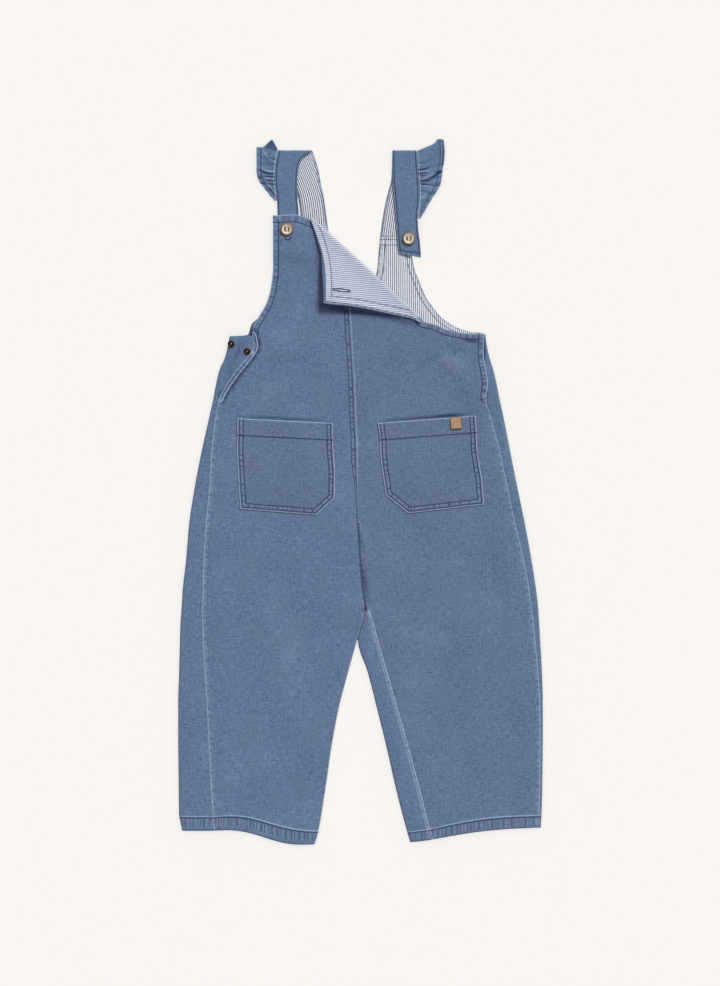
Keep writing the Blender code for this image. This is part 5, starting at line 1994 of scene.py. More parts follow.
@dataclass
class Ruffle:
    """A gathered ruffle along a strap's outer edge, folded over the shoulder."""

    strap: Strap
    front: tuple[RuffleRow, ...]
    back: tuple[RuffleRow, ...]
    peak: float
    creases: tuple[Crease, ...]

    def strap_edge(self, rows: Sequence[StrapRow], y: Grid) -> Grid:
        """Where the strap's outer edge lies.

        Args:
            rows: the strap's front or back.
            y: heights to find it at.

        Returns:
            The x at each height.
        """
        rows = sorted(rows)
        edge = [row.left if self.strap.side == LEFT else row.right for row in rows]
        return np.interp(y, [row.y for row in rows], edge) + self.strap.side * 0.1

    def section(
        self, table: Grid, seam_x: Grid, levels: tuple[float, float], wave: float, turns: float
    ) -> Grid:
        """Points of one half of the ruffle.

        Args:
            table: its rows.
            seam_x: where each row starts, on the strap's edge.
            levels: its height at the seam and at its free edge.
            wave: how far it waves.
            turns: how many waves it has.

        Returns:
            A row of points, from the strap's edge out, for each row of the table.
        """
        u = np.linspace(0.0, 1.0, RUFFLE_COLUMNS)
        y, edge_x, edge_y, gather, tip = columns_of(table)
        run = run_of(table[:, :1])[:, None]
        phase = 2 * math.pi * turns * run / run[-1]
        x = part_way(seam_x[:, None], edge_x, u)
        y = part_way(y, edge_y, u) + tip * step_up(u, 0.7, 0.8) * np.minimum((1.0 - u) / 0.2, 1.0)
        swing = np.sin(phase + 0.8 * u * wander(run, 9.0, 4))
        return joined(x, y, part_way(*levels, u) + wave * gather * (0.25 + 0.75 * u) * swing)

    def over(self, last: Grid) -> Grid:
        """Rows over the shoulder, from the last row of the front to below it."""
        side, u, arc = self.strap.side, np.linspace(0.0, 1.0, RUFFLE_COLUMNS), []
        dx, dy = last[-1, :2] - last[0, :2]
        out = np.array((-dy, dx)) * side / math.hypot(dx, dy)
        radius = (last[:, 2] - RUFFLE_UNDER_LEVEL) / 2
        for angle in np.radians(np.linspace(0.0, 180.0, RUFFLE_FOLD_STEPS))[1:-1]:
            rise = self.peak * np.maximum(0.0, 1.0 - np.abs(u - PEAK_AT) / PEAK_WIDTH)
            reach = (radius + rise) * math.sin(angle)
            x = side * np.maximum(side * (last[:, 0] + out[0] * reach), side * last[0, 0])
            level = RUFFLE_UNDER_LEVEL + radius * (1.0 + math.cos(angle))
            arc.append(joined(x, last[:, 1] + out[1] * reach, level))
        return np.array(arc)

    def cloth(self, denim: Finish) -> Cloth:
        """The ruffle."""
        halves = []
        for rows, cell in ((self.front, 0.9), (self.back, 1.4)):
            table = np.array(rows, float)
            knots = run_of(table[:, :3])
            halves.append(glide(knots, table, refine(knots, cell)))
        up, down = halves
        seam_x = self.strap_edge(self.strap.front, up[:, 0])
        first = self.section(up, seam_x, (STRAP_LEVEL, RUFFLE_EDGE_LEVEL), RUFFLE_WAVE, RUFFLE_WAVES)
        arc = self.over(first[-1])
        seam_x = self.strap_edge(self.strap.back, down[:, 0])
        seam_x[0] = first[-1, 0, 0]
        under = (RUFFLE_UNDER_LEVEL, RUFFLE_UNDER_LEVEL)
        second = self.section(down, seam_x, under, RUFFLE_BACK_WAVE, RUFFLE_WAVES / 2)
        x, y = first[..., 0], first[..., 1]
        first[..., 2] += sum(crease.lift(x, y) for crease in self.creases)
        points = np.concatenate((first, arc, second))
        u = np.linspace(0.0, 1.0, RUFFLE_COLUMNS)
        wear = np.zeros(points.shape[:2])
        # the creases' painted highlight and painted shade
        wear[: len(first)] = sum(crease.shade_at(x, y) for crease in self.creases)
        # painted shade over the point that the left ruffle's fold stands up in
        if self.peak:
            wear[len(first) : len(first) + len(arc)] = -0.8 * ease(np.abs(u - PEAK_AT), 0.45)
        width = np.linalg.norm(points[:, -1, :2] - points[:, 0, :2], axis=1)[:, None]
        run = run_of(points[:, -1])[:, None] * RUFFLE_FULLNESS
        turned = np.broadcast_to((u > RUFFLE_HEM_AT).astype(float), wear.shape)
        seams = {"ruffle": joined(width * (1.0 - u), run), "gathers": joined(width * u, run)}
        patch = Patch(points, joined(width * u, run), turned, wear, seams)
        label = "left" if self.strap.side == LEFT else "right"
        return Cloth(f"ruffle_{label}_cloth", [patch], RUFFLE_HEM, denim, DENIM)


@dataclass
class Pocket:
    """A patch pocket with a turned band at its mouth and one cut corner."""

    name: str
    rows: tuple[PocketRow, ...]
    ground: Ground
    seams: dict[str, Seam]

    def outline(self) -> Grid:
        """Its sewn edge: down one side, across the bottom and up the other side."""
        table = np.array(self.rows, float)
        return np.vstack((table[:, (1, 0)], table[::-1][:, (3, 2)]))

    def mouth(self) -> Grid:
        """Its open edge."""
        first = self.rows[0]
        return np.array(((first.left_x, first.left_y), (first.right_x, first.right_y)))

    def cloth(self, denim: Finish) -> Cloth:
        """The pocket, laid on the front."""
        table = np.array(self.rows, float)
        knots = run_of(table[:, (0, 2)])
        fine = glide(knots, table, refine(knots, POCKET_CELL), corners=(POCKET_CORNER,))
        left_y, left_x, right_y, right_x = columns_of(fine)
        u = shares(POCKET_WIDTH, POCKET_CELL)
        x, y = part_way(left_x, right_x, u), part_way(left_y, right_y, u)
        sides, band = self.seams["pocket"], self.seams["pocket_mouth"]
        edge, mouth = sides.mark(self.outline(), x, y), band.mark(self.mouth(), x, y)
        inside, down = edge[..., 0], mouth[..., 0]
        turned = 1.0 - step_up(down, POCKET_BAND_DEPTH - 1.0, POCKET_BAND_DEPTH)
        z = self.ground.heights(x, y, FOLD_TOP) + part_way(DENIM, POCKET_BAND, turned) / 2 + 0.05
        z = z + POCKET_PUFF * step_up(inside, 6.0, 30.0) * (1.0 + 0.6 * hills(x, y, 30.0, 9))
        z = z + POCKET_GAPE * (1.0 - step_up(down, 0.0, 22.0)) * step_up(inside, 3.0, 30.0)
        z = z + sides.lift(edge) * 0.8 + band.lift(mouth) * 0.5
        seams = {"pocket": edge, "pocket_mouth": mouth}
        patch = Patch(joined(x, y, z), joined(x, y) + POCKET_CUT_AT, turned, seams=seams)
        return Cloth(self.name, [patch], POCKET_BAND, denim, DENIM)


@dataclass
class Label:
    """The leather label sewn flat on the right pocket's band."""

    ground: Ground
    centre: tuple[float, float] = (109.5, 485.6)
    size: tuple[float, float, float] = (12.4, 13.4, 1.2)
    turn: float = 4.4

    def place(self, across: Grid, down: Grid) -> Grid:
        """Turns places on the label to places of the plan.

        Args:
            across: millimetres to the right of its middle.
            down: millimetres below its middle.

        Returns:
            The x and y of each place.
        """
        angle = math.radians(self.turn)
        x = self.centre[0] + across * math.cos(angle) + down * math.sin(angle)
        return joined(x, self.centre[1] + across * math.sin(angle) - down * math.cos(angle))

    def rim(self, inset: float) -> Grid:
        """The line that runs round it at a distance inside its edge."""
        width, depth = self.size[0] / 2 - inset, self.size[1] / 2 - inset
        across = np.array((-width, width, width, -width, -width))
        return self.place(across, np.array((-depth, -depth, depth, depth, -depth)))

    def cloth(self, leather: Finish) -> Cloth:
        """The label."""
        width, depth, thick = self.size
        steps = [np.linspace(-s / 2, s / 2, math.ceil(s / LABEL_CELL) + 1) for s in (width, depth)]
        across, down = np.meshgrid(*steps)
        plan = self.place(across, down)
        level = float(self.ground.heights(plan[..., 0], plan[..., 1], 7.0).max()) + thick / 2
        inside = np.minimum(width / 2 - np.abs(across), depth / 2 - np.abs(down))
        furrow = np.exp(-(((inside - LABEL_SEWN) / 0.5) ** 2))
        sunk = 0.25 * (1.0 - step_up(inside, 0.0, 1.6)) + 0.15 * furrow
        points = joined(plan[..., 0], plan[..., 1], level - sunk)
        patch = Patch(points, joined(across, down), seams={"edge": joined(inside, across)})
        return Cloth("pocket_label_leather", [patch], thick, leather)


# ------------------------------------------------------------------ trims


@dataclass
class Trim:
    """A small round trim turned about its upright axis."""

    name: str
    place: tuple[float, float, float]
    profile: tuple[tuple[float, float], ...]
    finish: Finish
    steps: int = 56

    def build(self) -> Item:
        """Makes the trim."""
        half = np.array(self.profile)
        angles = np.arange(self.steps) * 2 * math.pi / self.steps
        out, up = columns_of(half[1:-1])
        rings = joined(out * np.cos(angles), out * np.sin(angles), up).reshape(-1, 3)
        points = np.vstack((rings, [(0.0, 0.0, half[i, 1]) for i in (0, -1)])) + self.place
        index = np.arange(len(rings)).reshape(-1, self.steps)
        after = np.roll(index, -1, axis=1)
        faces = np.stack((index[:-1], index[1:], after[1:], after[:-1]), -1).reshape(-1, 4).tolist()
        for tip, ring, step in ((-2, 0, 1), (-1, -1, -1)):
            pairs = zip(index[ring].tolist(), after[ring].tolist())
            faces += [(len(points) + tip, *pair[::step]) for pair in pairs]
        item = new_item(self.name, to_world(points).tolist(), faces=faces)
        close_up(item.data)
        item.data.materials.append(self.finish)
        return item

    def mark(self, item: Item) -> Item:
        """Gives a finished trim how far each point is from its axis, and how high it stands."""
        spots = np.array([vertex.co for vertex in item.data.vertices]) / MM
        spots[:, 1] += GARMENT_LENGTH / 2
        spots -= self.place
        top = max(height for _, height in self.profile)
        give_values(item.data, "reach", np.linalg.norm(spots[:, :2], axis=1))
        give_values(item.data, "rub", np.clip(spots[:, 2] / top, 0.0, 1.0))
        item.data.shade_smooth()
        return item


def box(centre: tuple[float, float, float], size: tuple[float, float, float]) -> Item:
    """A box to cut with.

    Args:
        centre: its middle, in garment millimetres.
        size: how long it is along x, y and z.

    Returns:
        The box.
    """
    shape = bmesh.new()
    bmesh.ops.create_cube(shape, size=1.0)
    for vertex in shape.verts:
        vertex.co = Vector(to_world(np.array(centre) + np.array(vertex.co) * size))
    item = new_item("cutter", [])
    shape.to_mesh(item.data)
    shape.free()
    return item


@dataclass
class StrapButton:
    """A horn button with a raised rim, a dished middle and two slots."""

    name: str
    place: tuple[float, float, float]
    finish: Finish
    slot: tuple[float, float] = (2.2, 5.4)
    apart: float = 3.6

    def build(self) -> Item:
        """Makes the button."""
        profile = (
            (0.0, 1.75), (2.4, 1.7), (4.2, 1.8), (5.0, 2.1), (5.5, 2.7), (6.0, 3.0), (6.6, 3.0),
            (7.1, 2.75), (7.4, 2.3), (7.5, 1.8), (7.4, 1.1), (7.0, 0.5), (6.2, 0.1), (0.0, 0.0),
        )
        trim = Trim(self.name, self.place, profile, self.finish)
        item = trim.build()
        x, y, z = self.place
        # The slots stop 0.4 mm above the foot, to carry their painted shade
        cutters = [box((x + s * self.apart / 2, y, z + 6.4), (*self.slot, 12.0)) for s in (LEFT, RIGHT)]
        for cutter in cutters:
            cut = item.modifiers.new("slot", "BOOLEAN")
            cut.object = cutter
            cut.operation = "DIFFERENCE"
            cut.solver = "EXACT"
        settle_mesh(item)
        for cutter in cutters:
            bpy.data.objects.remove(cutter, do_unlink=True)
        trim.mark(item)
        edges = item.modifiers.new("edges", "EDGE_SPLIT")
        edges.split_angle = math.radians(40.0)
        settle_mesh(item)
        return item


def side_snap(name: str, place: tuple[float, float, float], finish: Finish) -> Item:
    """A domed press snap with a rolled edge and a small nib.

    Args:
        name: of the piece.
        place: the middle of its foot, in garment millimetres.
        finish: its metal.

    Returns:
        The snap.
    """
    profile = (
        (0.0, 2.4), (0.7, 2.38), (1.2, 2.2), (1.4, 1.8), (1.6, 1.4), (2.3, 1.25), (2.9, 1.35),
        (3.25, 1.7), (3.55, 1.75), (3.85, 1.5), (4.0, 1.05), (3.95, 0.5), (3.7, 0.1), (0.0, 0.0),
    )
    trim = Trim(name, place, profile, finish, steps=40)
    return trim.mark(trim.build())


# ------------------------------------------------------------------ sewing plan


FRONT_SEAMS = seams_of(
    armhole=dict(rows=(6.3,), rope=(1.2, 6), rim=0.5, rope_pale=0.12, rope_dark=0.42, seed=3),
    top=dict(rows=(8.2,), rope=(1.5, 8), pitch=8, rim=0.7, rope_pale=0.16, rope_dark=0.38, seed=4),
    placket=dict(rows=(6.3,), rope=(0.9, 6), pitch=7.3, rim=0.9, rope_pale=0.14, rope_dark=0.5, seed=5),
    outseam=dict(rows=(), rope=(0.5, 4), pitch=8, rim=0.9, rim_width=0.7, rope_dark=0.1),
    centre=dict(rows=(), rope=(0.5, 2), rim=0.6, rim_width=0.7, rope_dark=0.1, seed=7),
    fork=dict(rows=(0.2,), rope=(0.5, 4), rope_pale=0.1, rope_dark=0.15, furrow=0.6, seed=17),
    inseam=dict(rows=(), rope=(0.3, 3), rim=0.6, rim_width=0.6, ridges=(2.4,), rope_dark=0.15),
    hem=dict(rows=(1.7,), rope=(1.5, 11), pitch=5, ridges=(0,), ridge_pale=0.75, rope_pale=0.14,
        rope_dark=0.42, crests=0.36, seed=9),
    corner=dict(rows=(), rope=(0, 3), pitch=6, rim=0.8, rim_width=2.6, seed=10),
)
LEFT_SEAMS = FRONT_SEAMS | seams_of(
    centre=dict(rows=(2.1, 6.3), rope=(2.4, 6.3), pitch=7.5, rim=0.35, rim_width=0.6, rope_pale=0.08,
        rope_dark=0.6, crests=0.3, furrow=0.65, seed=7),
    # the placket's shadow is painted shadow in the dip beside its raised edge
    placket=dict(rows=(), rope=(1.2, 3.6), pitch=4.5, rim=1, rim_width=0.6, ridges=(4.5,),
        ridge_pale=0.95, shadow=(5.2, 11, 1.2), rope_pale=0.05, rope_dark=0.5, seed=5),
    fork=dict(rows=(0.9,), rope=(0.5, 4), rope_pale=0.1, rope_dark=0.2, furrow=0.6, seed=17),
    inseam=dict(rows=(), rope=(0.3, 3), rim=0.7, rim_width=0.6, rope_pale=0.05, rope_dark=0.1),
)
BACK_SEAMS = {"hem": FRONT_SEAMS["hem"]} | seams_of(
    # the outseam's shadow is painted shadow along the back's edge
    back_outseam=dict(rows=(), rope=(0.6, 4), rim=0.2, shadow=(0.4, 3, 0.3), rope_pale=0.04,
        rope_dark=0.2, seed=12),
    back_placket=dict(rows=(3,), rope=(0.5, 4), rim=0.5, seed=13),
    back_inseam=dict(rows=(), rope=(0, 2.5), rim=0.4, rope_pale=0.05, rope_dark=0.1),
    back_centre=dict(rows=(1, 6), rope=(1.5, 6), pitch=6.5, seed=15),
)
POCKET_SEAMS = seams_of(
    pocket=dict(rows=(2.3, 6.7), rope=(2.8, 6.5), pitch=5.4, rim=1, rim_width=0.75, rope_pale=0.14,
        rope_dark=0.55, crests=0.3, seed=20),
    pocket_mouth=dict(rows=(19.3,), rope=(16, 19), rim=1, rim_width=0.7, rope_pale=0.08, rope_dark=0.1,
        furrow=0.7),
)
FACING_SEAMS = seams_of(
    corner_rim=dict(rows=(6.5,), rope=(0.5, 5.4), rope_pale=0.1, rope_dark=0, furrow=0.55),
    facing_neck=dict(rows=(5.8,), rope=(0.3, 1.4), rope_dark=0.7, furrow=0.7, seed=31),
    facing_armhole=dict(rows=(5,), rope=(0.1, 1), rope_dark=0.7, furrow=0.6, seed=32),
    facing_top=dict(rows=(3, 9.5), rope=(3.4, 9), rope_pale=0.2, rope_dark=0.1, furrow=0.6, seed=33),
)
STRAP_SEAMS = seams_of(
    strap=dict(rows=(1.7,), rope=(2, 3.4), rim=0.3, rim_width=0.5, rope_pale=0.05, rope_dark=0.1),
    strap_end=dict(rows=(4.2,), rope=(0.8, 4), pitch=4, rim=0.6, rope_pale=0.1, seed=42),
    lining=dict(rows=(1.2,), rope=(0.1, 0.8), rope_dark=0.5, furrow=0.5, seed=41),
)
RUFFLE_SEAMS = seams_of(
    ruffle=dict(
        rows=(5.2,), rope=(1, 5), pitch=9, rim=0.75, rim_width=0.6, rope_pale=0.12, rope_dark=0.25,
        furrow=0.75, seed=50,
    ),
    gathers=dict(
        rows=(), rope=(1.8, 6), pitch=3, ridges=(1.2,), ridge_pale=0.9, rope_pale=0.15, rope_dark=0.5
    ),
)

# Width, height and shade of each crease, and then its places; shade above 0 is painted highlight, below 0
# painted shade
# The gathers' troughs get painted shade and their ridges painted highlight
LEFT_GATHERS = creases(
    (4, -1.2, -0.4, (-113, 790), (-106, 784), (-96, 779)),
    (0.9, 1, 0.8, (-113, 799), (-108.2, 793.5), (-97, 783)),
    (1, -1.3, -0.9, (-96, 788), (-104, 789.5), (-108, 796)),
    (0.9, 1.3, 0.75, (-115.5, 780), (-109.5, 775.6), (-95, 773.4)),
    (1.1, -1.9, -1.3, (-117.5, 778.5), (-110.5, 772.8), (-92, 770.9)),
    (0.9, -1.8, -1.2, (-111.5, 770.6), (-107, 768.6), (-90, 767.6)),
    (0.8, 0.8, 0.5, (-112.5, 767.3), (-105, 766.3), (-94, 765.6)),
    (1, -1.8, -1.3, (-112, 764.8), (-105.5, 763.8), (-90, 763.2)),
    (1, -1.6, -1.2, (-107.5, 760.8), (-103, 759.6), (-90, 758.6)),
    (0.8, 0.9, 0.6, (-109, 763), (-104.5, 757.5), (-99, 750)),
    (1.2, -1.2, -0.8, (-107.5, 758), (-103, 752.5), (-98, 744)),
    (1.2, -0.3, -0.7, (-118.5, 775), (-114, 764.5), (-107, 754)),
)
# The gathers' troughs get painted shade and their ridges painted highlight
RIGHT_GATHERS = creases(
    (1.6, -0.8, -0.3, (62, 784), (72, 784), (83, 789)),
    (1, -1.9, -1.4, (58, 775.5), (70, 776.5), (75.5, 777.6), (81, 781.5)),
    (0.8, 1, 0.5, (58, 773.8), (72, 774.4), (80, 775.5)),
    (1, -1.9, -1.3, (56, 771.2), (70, 772.2), (77.5, 773.2)),
    (0.9, -1.6, -1.2, (58, 769.6), (70, 769.8), (76.5, 769)),
    (1.6, 1.5, 0.4, (68, 765.5), (76, 767.5), (88, 774.5)),
    (1.3, -2.4, -1.4, (100, 776.5), (91, 773.2), (82.5, 767.4), (76, 763.6), (58, 762)),
    (2, -2.4, -1.7, (84, 773), (90, 773.4), (97, 775)),
    (1, -1.7, -1.2, (56, 760.6), (71, 759.8), (80.5, 758.4)),
    (1, 1, 0.5, (66, 757), (77, 757.4), (84.5, 755)),
    (1.2, -0.9, -0.5, (64, 752), (73, 752), (79, 748.5)),
    (1.2, 0.8, 0.4, (66, 742), (72, 745), (76, 752)),
    # painted shade along the outer edge of the ruffle's hem
    (1.1, -0.4, -1.9, (95, 812), (95.6, 797), (94, 776)),
    (1, -0.7, -0.5, (88.5, 812), (89, 800), (88, 786)),
)
LEFT_CREASES = creases(
    # painted shade in the puckers by the side opening
    (1.4, -0.7, -0.55, (-147.6, 537), (-143.5, 533.5), (-139, 531.5)),
    (1.4, -0.6, -0.5, (-151.5, 528.5), (-148, 526), (-144, 525)),
    (1.3, -0.5, -0.35, (-142.5, 544), (-138.5, 541.5), (-134.5, 540.5)),
    (1.3, -0.4, -0.3, (-135, 553), (-131.5, 550.5), (-128, 550)),
    (4.5, -0.8, -0.35, (-129.5, 556), (-139, 543), (-153, 521)),
    (1.4, 0.2, 1.3, (-125.3, 571.5), (-124, 567.5), (-123.5, 563.5)),
    (3.5, -0.5, -0.12, (-69.6, 541), (-46, 538.5), (-23.6, 537.6)),
    (6, -0.4, -0.05, (-105, 560), (-80, 556), (-62, 560)),
    (9, 0.8, 0.06, (-150, 470), (-120, 500), (-95, 540)),
    (16, 0.9, 0.04, (-120, 300), (-90, 230), (-80, 150)),
    (12, 0.8, 0, (-20, 260), (-60, 220), (-110, 200)),
    (5, -0.6, -0.08, (-10, 255), (-34, 246), (-62, 243)),
    (14, 0.7, 0, (-170, 330), (-150, 250), (-150, 160)),
    (7, -0.5, -0.06, (-60, 120), (-75, 70), (-70, 40)),
    # painted shadow above the pocket's open mouth
    (1.4, -0.3, -0.8, (-146, 493.6), (-86, 490.7), (-28, 487.8)),
    # painted shadow beside and below the turned corner
    (4, -0.01, -0.4, (-51, 716), (-47.5, 662), (-45.5, 606)),
    (3.6, -0.01, -0.9, (-58, 624), (-20, 615.8), (20, 609.5)),
)
RIGHT_CREASES = creases(
    # painted shade in the folds below the fork
    (2.3, -0.9, -0.75, (-4.9, 369), (-1, 352), (3.2, 338)),
    (3.6, -1, -0.85, (-1.4, 334), (2.8, 311), (8, 274)),
    (5, 0.9, 0.12, (4.5, 372), (8.5, 345), (13.5, 318)),
    (3.2, -0.9, -0.2, (62, 541), (76, 556), (96, 565)),
    (9, 1, 0.14, (84, 560), (104, 556), (124, 548)),
    (3, -0.6, -0.15, (96, 578), (112, 568), (127, 566)),
    (2.6, -0.7, -0.22, (126, 575), (131, 560), (130.5, 540)),
    (10, 0.8, 0, (150, 500), (120, 530), (100, 560)),
    (12, 0.9, 0.04, (25, 262), (70, 235), (120, 225)),
    (5, -0.6, -0.08, (14, 262), (40, 252), (66, 254)),
    (16, 0.9, 0, (110, 330), (120, 240), (115, 150)),
    (13, 0.7, 0, (170, 360), (175, 260), (165, 150)),
    (7, -0.5, -0.06, (75, 120), (92, 75), (90, 40)),
    # painted shadow above the pocket's open mouth, deeper by the label
    (1.5, -0.3, -0.9, (14, 487.8), (76, 492.2), (134, 496.6)),
    (1.8, -0.2, -0.7, (80, 492.8), (99, 494.3), (122, 495.9)),
    # painted shadow below the turned corner
    (3.6, -0.01, -0.9, (-58, 624), (0, 612.6), (40, 605.4), (78, 594)),
    # painted shadow in the gap at the top of the side opening
    (2, -0.7, -1.1, (114, 584), (126, 580), (138, 579)),
)
# Painted shade in the back's folds by the side openings
LEFT_BACK_CREASES = creases(
    (2, -0.7, -0.55, (-134.5, 580.5), (-139.5, 571), (-146.5, 552)),
    # painted shade on the back's wrong side, where it shows in shade at the opening
    (5.5, 0.01, -1.6, (-126.5, 612), (-130.5, 598), (-130.5, 585)),
    (2.5, -0.5, -0.25, (-152, 557), (-149, 545), (-158, 528)),
    (9, 0.01, -0.05, (-60, 560), (-40, 500), (-60, 430)),
)
RIGHT_BACK_CREASES = creases(
    (3, -0.5, -0.15, (150, 520), (157, 490), (163, 455)),
    # painted shadow in the gap by the right side opening
    (1.4, -0.3, -1.6, (141.6, 596), (142, 575), (142.8, 556)),
    (9, 0.01, -0.05, (60, 560), (40, 500), (65, 430)),
)


@dataclass
class Garment:
    """The whole garment, built from the surface up."""

    stitches: Stitching
    finishes: dict[Any, Finish] = field(default_factory=dict)
    ground: Ground | None = None

    def lay(self, cloth: Cloth, slot: str = "washed_denim", held: str = "laid") -> Item:
        """Builds a piece of cloth in place of its solid and logs the size of its cut.

        Args:
            cloth: the piece, named for its solid and what it is made of.
            slot: its slot.
            held: how it is held in shape; not used.

        Returns:
            The piece.
        """
        item = dress(cloth.build(), cloth.name.removesuffix("_cloth"), slot=slot)
        width, length, area = cloth.cut_size()
        LOG.info("%s: cut %.0f x %.0f mm, %.4f m2", item.name, width / MM, length / MM, area)
        return item

    def make_finishes(self) -> None:
        """Makes every finish once."""
        back_parts = ("facing_neck", "facing_armhole", "facing_top")
        back_seams = tuple(FACING_SEAMS[part] for part in back_parts)
        strap_seams = (STRAP_SEAMS["strap"], STRAP_SEAMS["strap_end"])
        looks = {
            "left": Denim("washed_denim_left", weft="#788CA9", seams=(*LEFT_SEAMS.values(),)),
            "right": Denim("washed_denim_right", weft="#788BA6", seams=(*FRONT_SEAMS.values(),)),
            "back": Denim("washed_denim_back", weft="#778CA9", seams=(*BACK_SEAMS.values(),)),
            "pocket": Denim("washed_denim_pocket", seams=(*POCKET_SEAMS.values(),)),
            "strap": Denim("washed_denim_strap", "#43577C", "#778DA8", seams=strap_seams),
            "ruffle": Denim("washed_denim_ruffle", "#43587E", "#798FAC", seams=(*RUFFLE_SEAMS.values(),)),
            "corner": Ticking("striped_ticking_corner", seams=(FACING_SEAMS["corner_rim"],)),
            "facing": Ticking("striped_ticking_facing", "#ECEFF7", "#2F3B5A", 2.4, 0.4, back_seams),
            "lining": Ticking(
                "striped_ticking_lining", "#E4E7F0", "#243050", 2.4, seams=(STRAP_SEAMS["lining"],)
            ),
            "horn": Horn("turned_horn"),
            "brass": Brass("antiqued_brass"),
            "leather": Leather("natural_leather"),
        }
        looks |= {yarn: Thread(f"{yarn.name.lower()}_thread", yarn.value[0]) for yarn in Yarn}
        self.finishes = {name: look.make() for name, look in looks.items()}

    def panels(self) -> None:
        """Backs, facings and fronts, and the sewing on them."""
        finish, sew = self.finishes, self.stitches.sew
        backs = [
            Back(
                "back_left_cloth", LEFT, LEFT_BACK, LEFT_BODY, finish["back"], BACK_SEAMS,
                LEFT_BACK_CREASES, 61,
            ),
            Back(
                "back_right_cloth", RIGHT, RIGHT_BACK, RIGHT_BODY, finish["back"], BACK_SEAMS,
                RIGHT_BACK_CREASES, 62,
            ),
        ]
        for panel in backs:
            sew(Ground(self.lay(panel.cloth())), *panel.rows_below(), below=True)
        facings = Facings(finish["corner"], finish["facing"], FACING_SEAMS)
        back_facing = self.lay(facings.back(), "striped_ticking")
        sew(Ground(back_facing), *facings.back_rows, yarn=Yarn.FINE)
        fronts = [
            Front(
                "front_left_cloth", LEFT, LEFT_BIB, LEFT_BODY, finish["left"], LEFT_SEAMS,
                LEFT_CREASES, 21, LEFT_TURNED,
            ),
            Front(
                "front_right_cloth", RIGHT, RIGHT_BIB, RIGHT_BODY, finish["right"], FRONT_SEAMS,
                RIGHT_CREASES, 22, RIGHT_TURNED, RIGHT_FLAP_AT_SEAM,
            ),
        ]
        self.ground = Ground(*[self.lay(panel.cloth(), held="folded") for panel in fronts])
        corner = Ground(self.lay(facings.corner(), "striped_ticking", "folded"))
        sew(corner, *facings.corner_rows, yarn=Yarn.FINE)
        self.sew_fronts(fronts)
        self.buttonholes(corner)

    def sew_fronts(self, fronts: list[Front]) -> None:
        """The rows of stitches on both fronts."""
        for panel in fronts:
            for part, path in panel.paths().items():
                inward = -panel.side if part in ("top", "centre", "fork", "inseam") else panel.side
                run = run_of(path)[:, None]
                draw = narrowing(run, run[-1]) if part == "centre" else 1.0
                rows = [aside(path, -inward * row / draw) for row in panel.seams[part].rows]
                self.stitches.sew(self.ground, *rows)
            self.stitches.sew(self.ground, aside(panel.across(HEM_TOP), panel.side * HEM_SEWN))
        # Dark thread laid along the gap at the fork of the legs stands in for the shade in it
        left = fronts[0].paths()
        for off in (0.3, 1.4):
            joint = np.vstack([aside(left[part], off) for part in ("fork", "inseam")])
            joint = joint[(joint[:, 1] > 236.0) & (joint[:, 1] < 276.0)]
            self.stitches.lay([(x, y, FORK_GAP_SHADE_LEVEL) for x, y in joint], Yarn.NAVY)
        for y in (269.6, 270.9, 272.2):
            self.stitches.lay([(x, y, FORK_GAP_SHADE_LEVEL + 0.3) for x in (3.6, 6.0, 8.4)], Yarn.NAVY)
        tacks = (((137.4, 512.0), (145.4, 513.4)), ((137.6, 513.0), (145.6, 514.4)))
        self.stitches.sew(self.ground, *tacks)

    def buttonholes(self, corner: Ground) -> None:
        """The worked buttonhole on the turned corner and the end of the one under the left button."""
        sew, u = self.stitches.sew, np.linspace(0.0, 1.0, 14)
        for bulge, end in ((1.3, 0.4), (-0.9, -0.4)):
            y = 638.2 - 1.8 * u + bulge * np.sin(np.pi * u) ** 0.7 + end
            sew(corner, joined(-31.9 + 21.0 * u, y), yarn=Yarn.NAVY)
        sew(corner, ((-29.0, 638.3), (-14.0, 636.9)), yarn=Yarn.WHITE)
        sew(self.ground, ((-87.2, 698.4), (-84.6, 695.9), (-82.0, 695.8), (-79.6, 699.0)), yarn=Yarn.NAVY)
        slot = (((-91.4, 698.2), (-89.2, 700.4)), ((-86.2, 699.8), (-83.2, 697.0)))
        sew(self.ground, *slot, yarn=Yarn.WHITE)

    def pockets(self) -> None:
        """Pockets, their sewing and the label."""
        pockets = []
        for name, rows in (("pocket_left_cloth", LEFT_POCKET), ("pocket_right_cloth", RIGHT_POCKET)):
            pocket = Pocket(name, rows, self.ground, POCKET_SEAMS)
            pockets.append(self.lay(pocket.cloth(self.finishes["pocket"])))
            sides = [aside(pocket.outline(), row) for row in POCKET_SEAMS["pocket"].rows]
            mouth = [aside(pocket.mouth(), -row) for row in POCKET_SEAMS["pocket_mouth"].rows]
            self.stitches.sew(Ground(pockets[-1]), *sides, *mouth)
        label = Label(Ground(*pockets))
        item = label.cloth(self.finishes["leather"]).build()
        dress(item, "pocket_label", slot="tan_leather")
        self.stitches.sew(Ground(item), label.rim(LABEL_SEWN), yarn=Yarn.PALE)

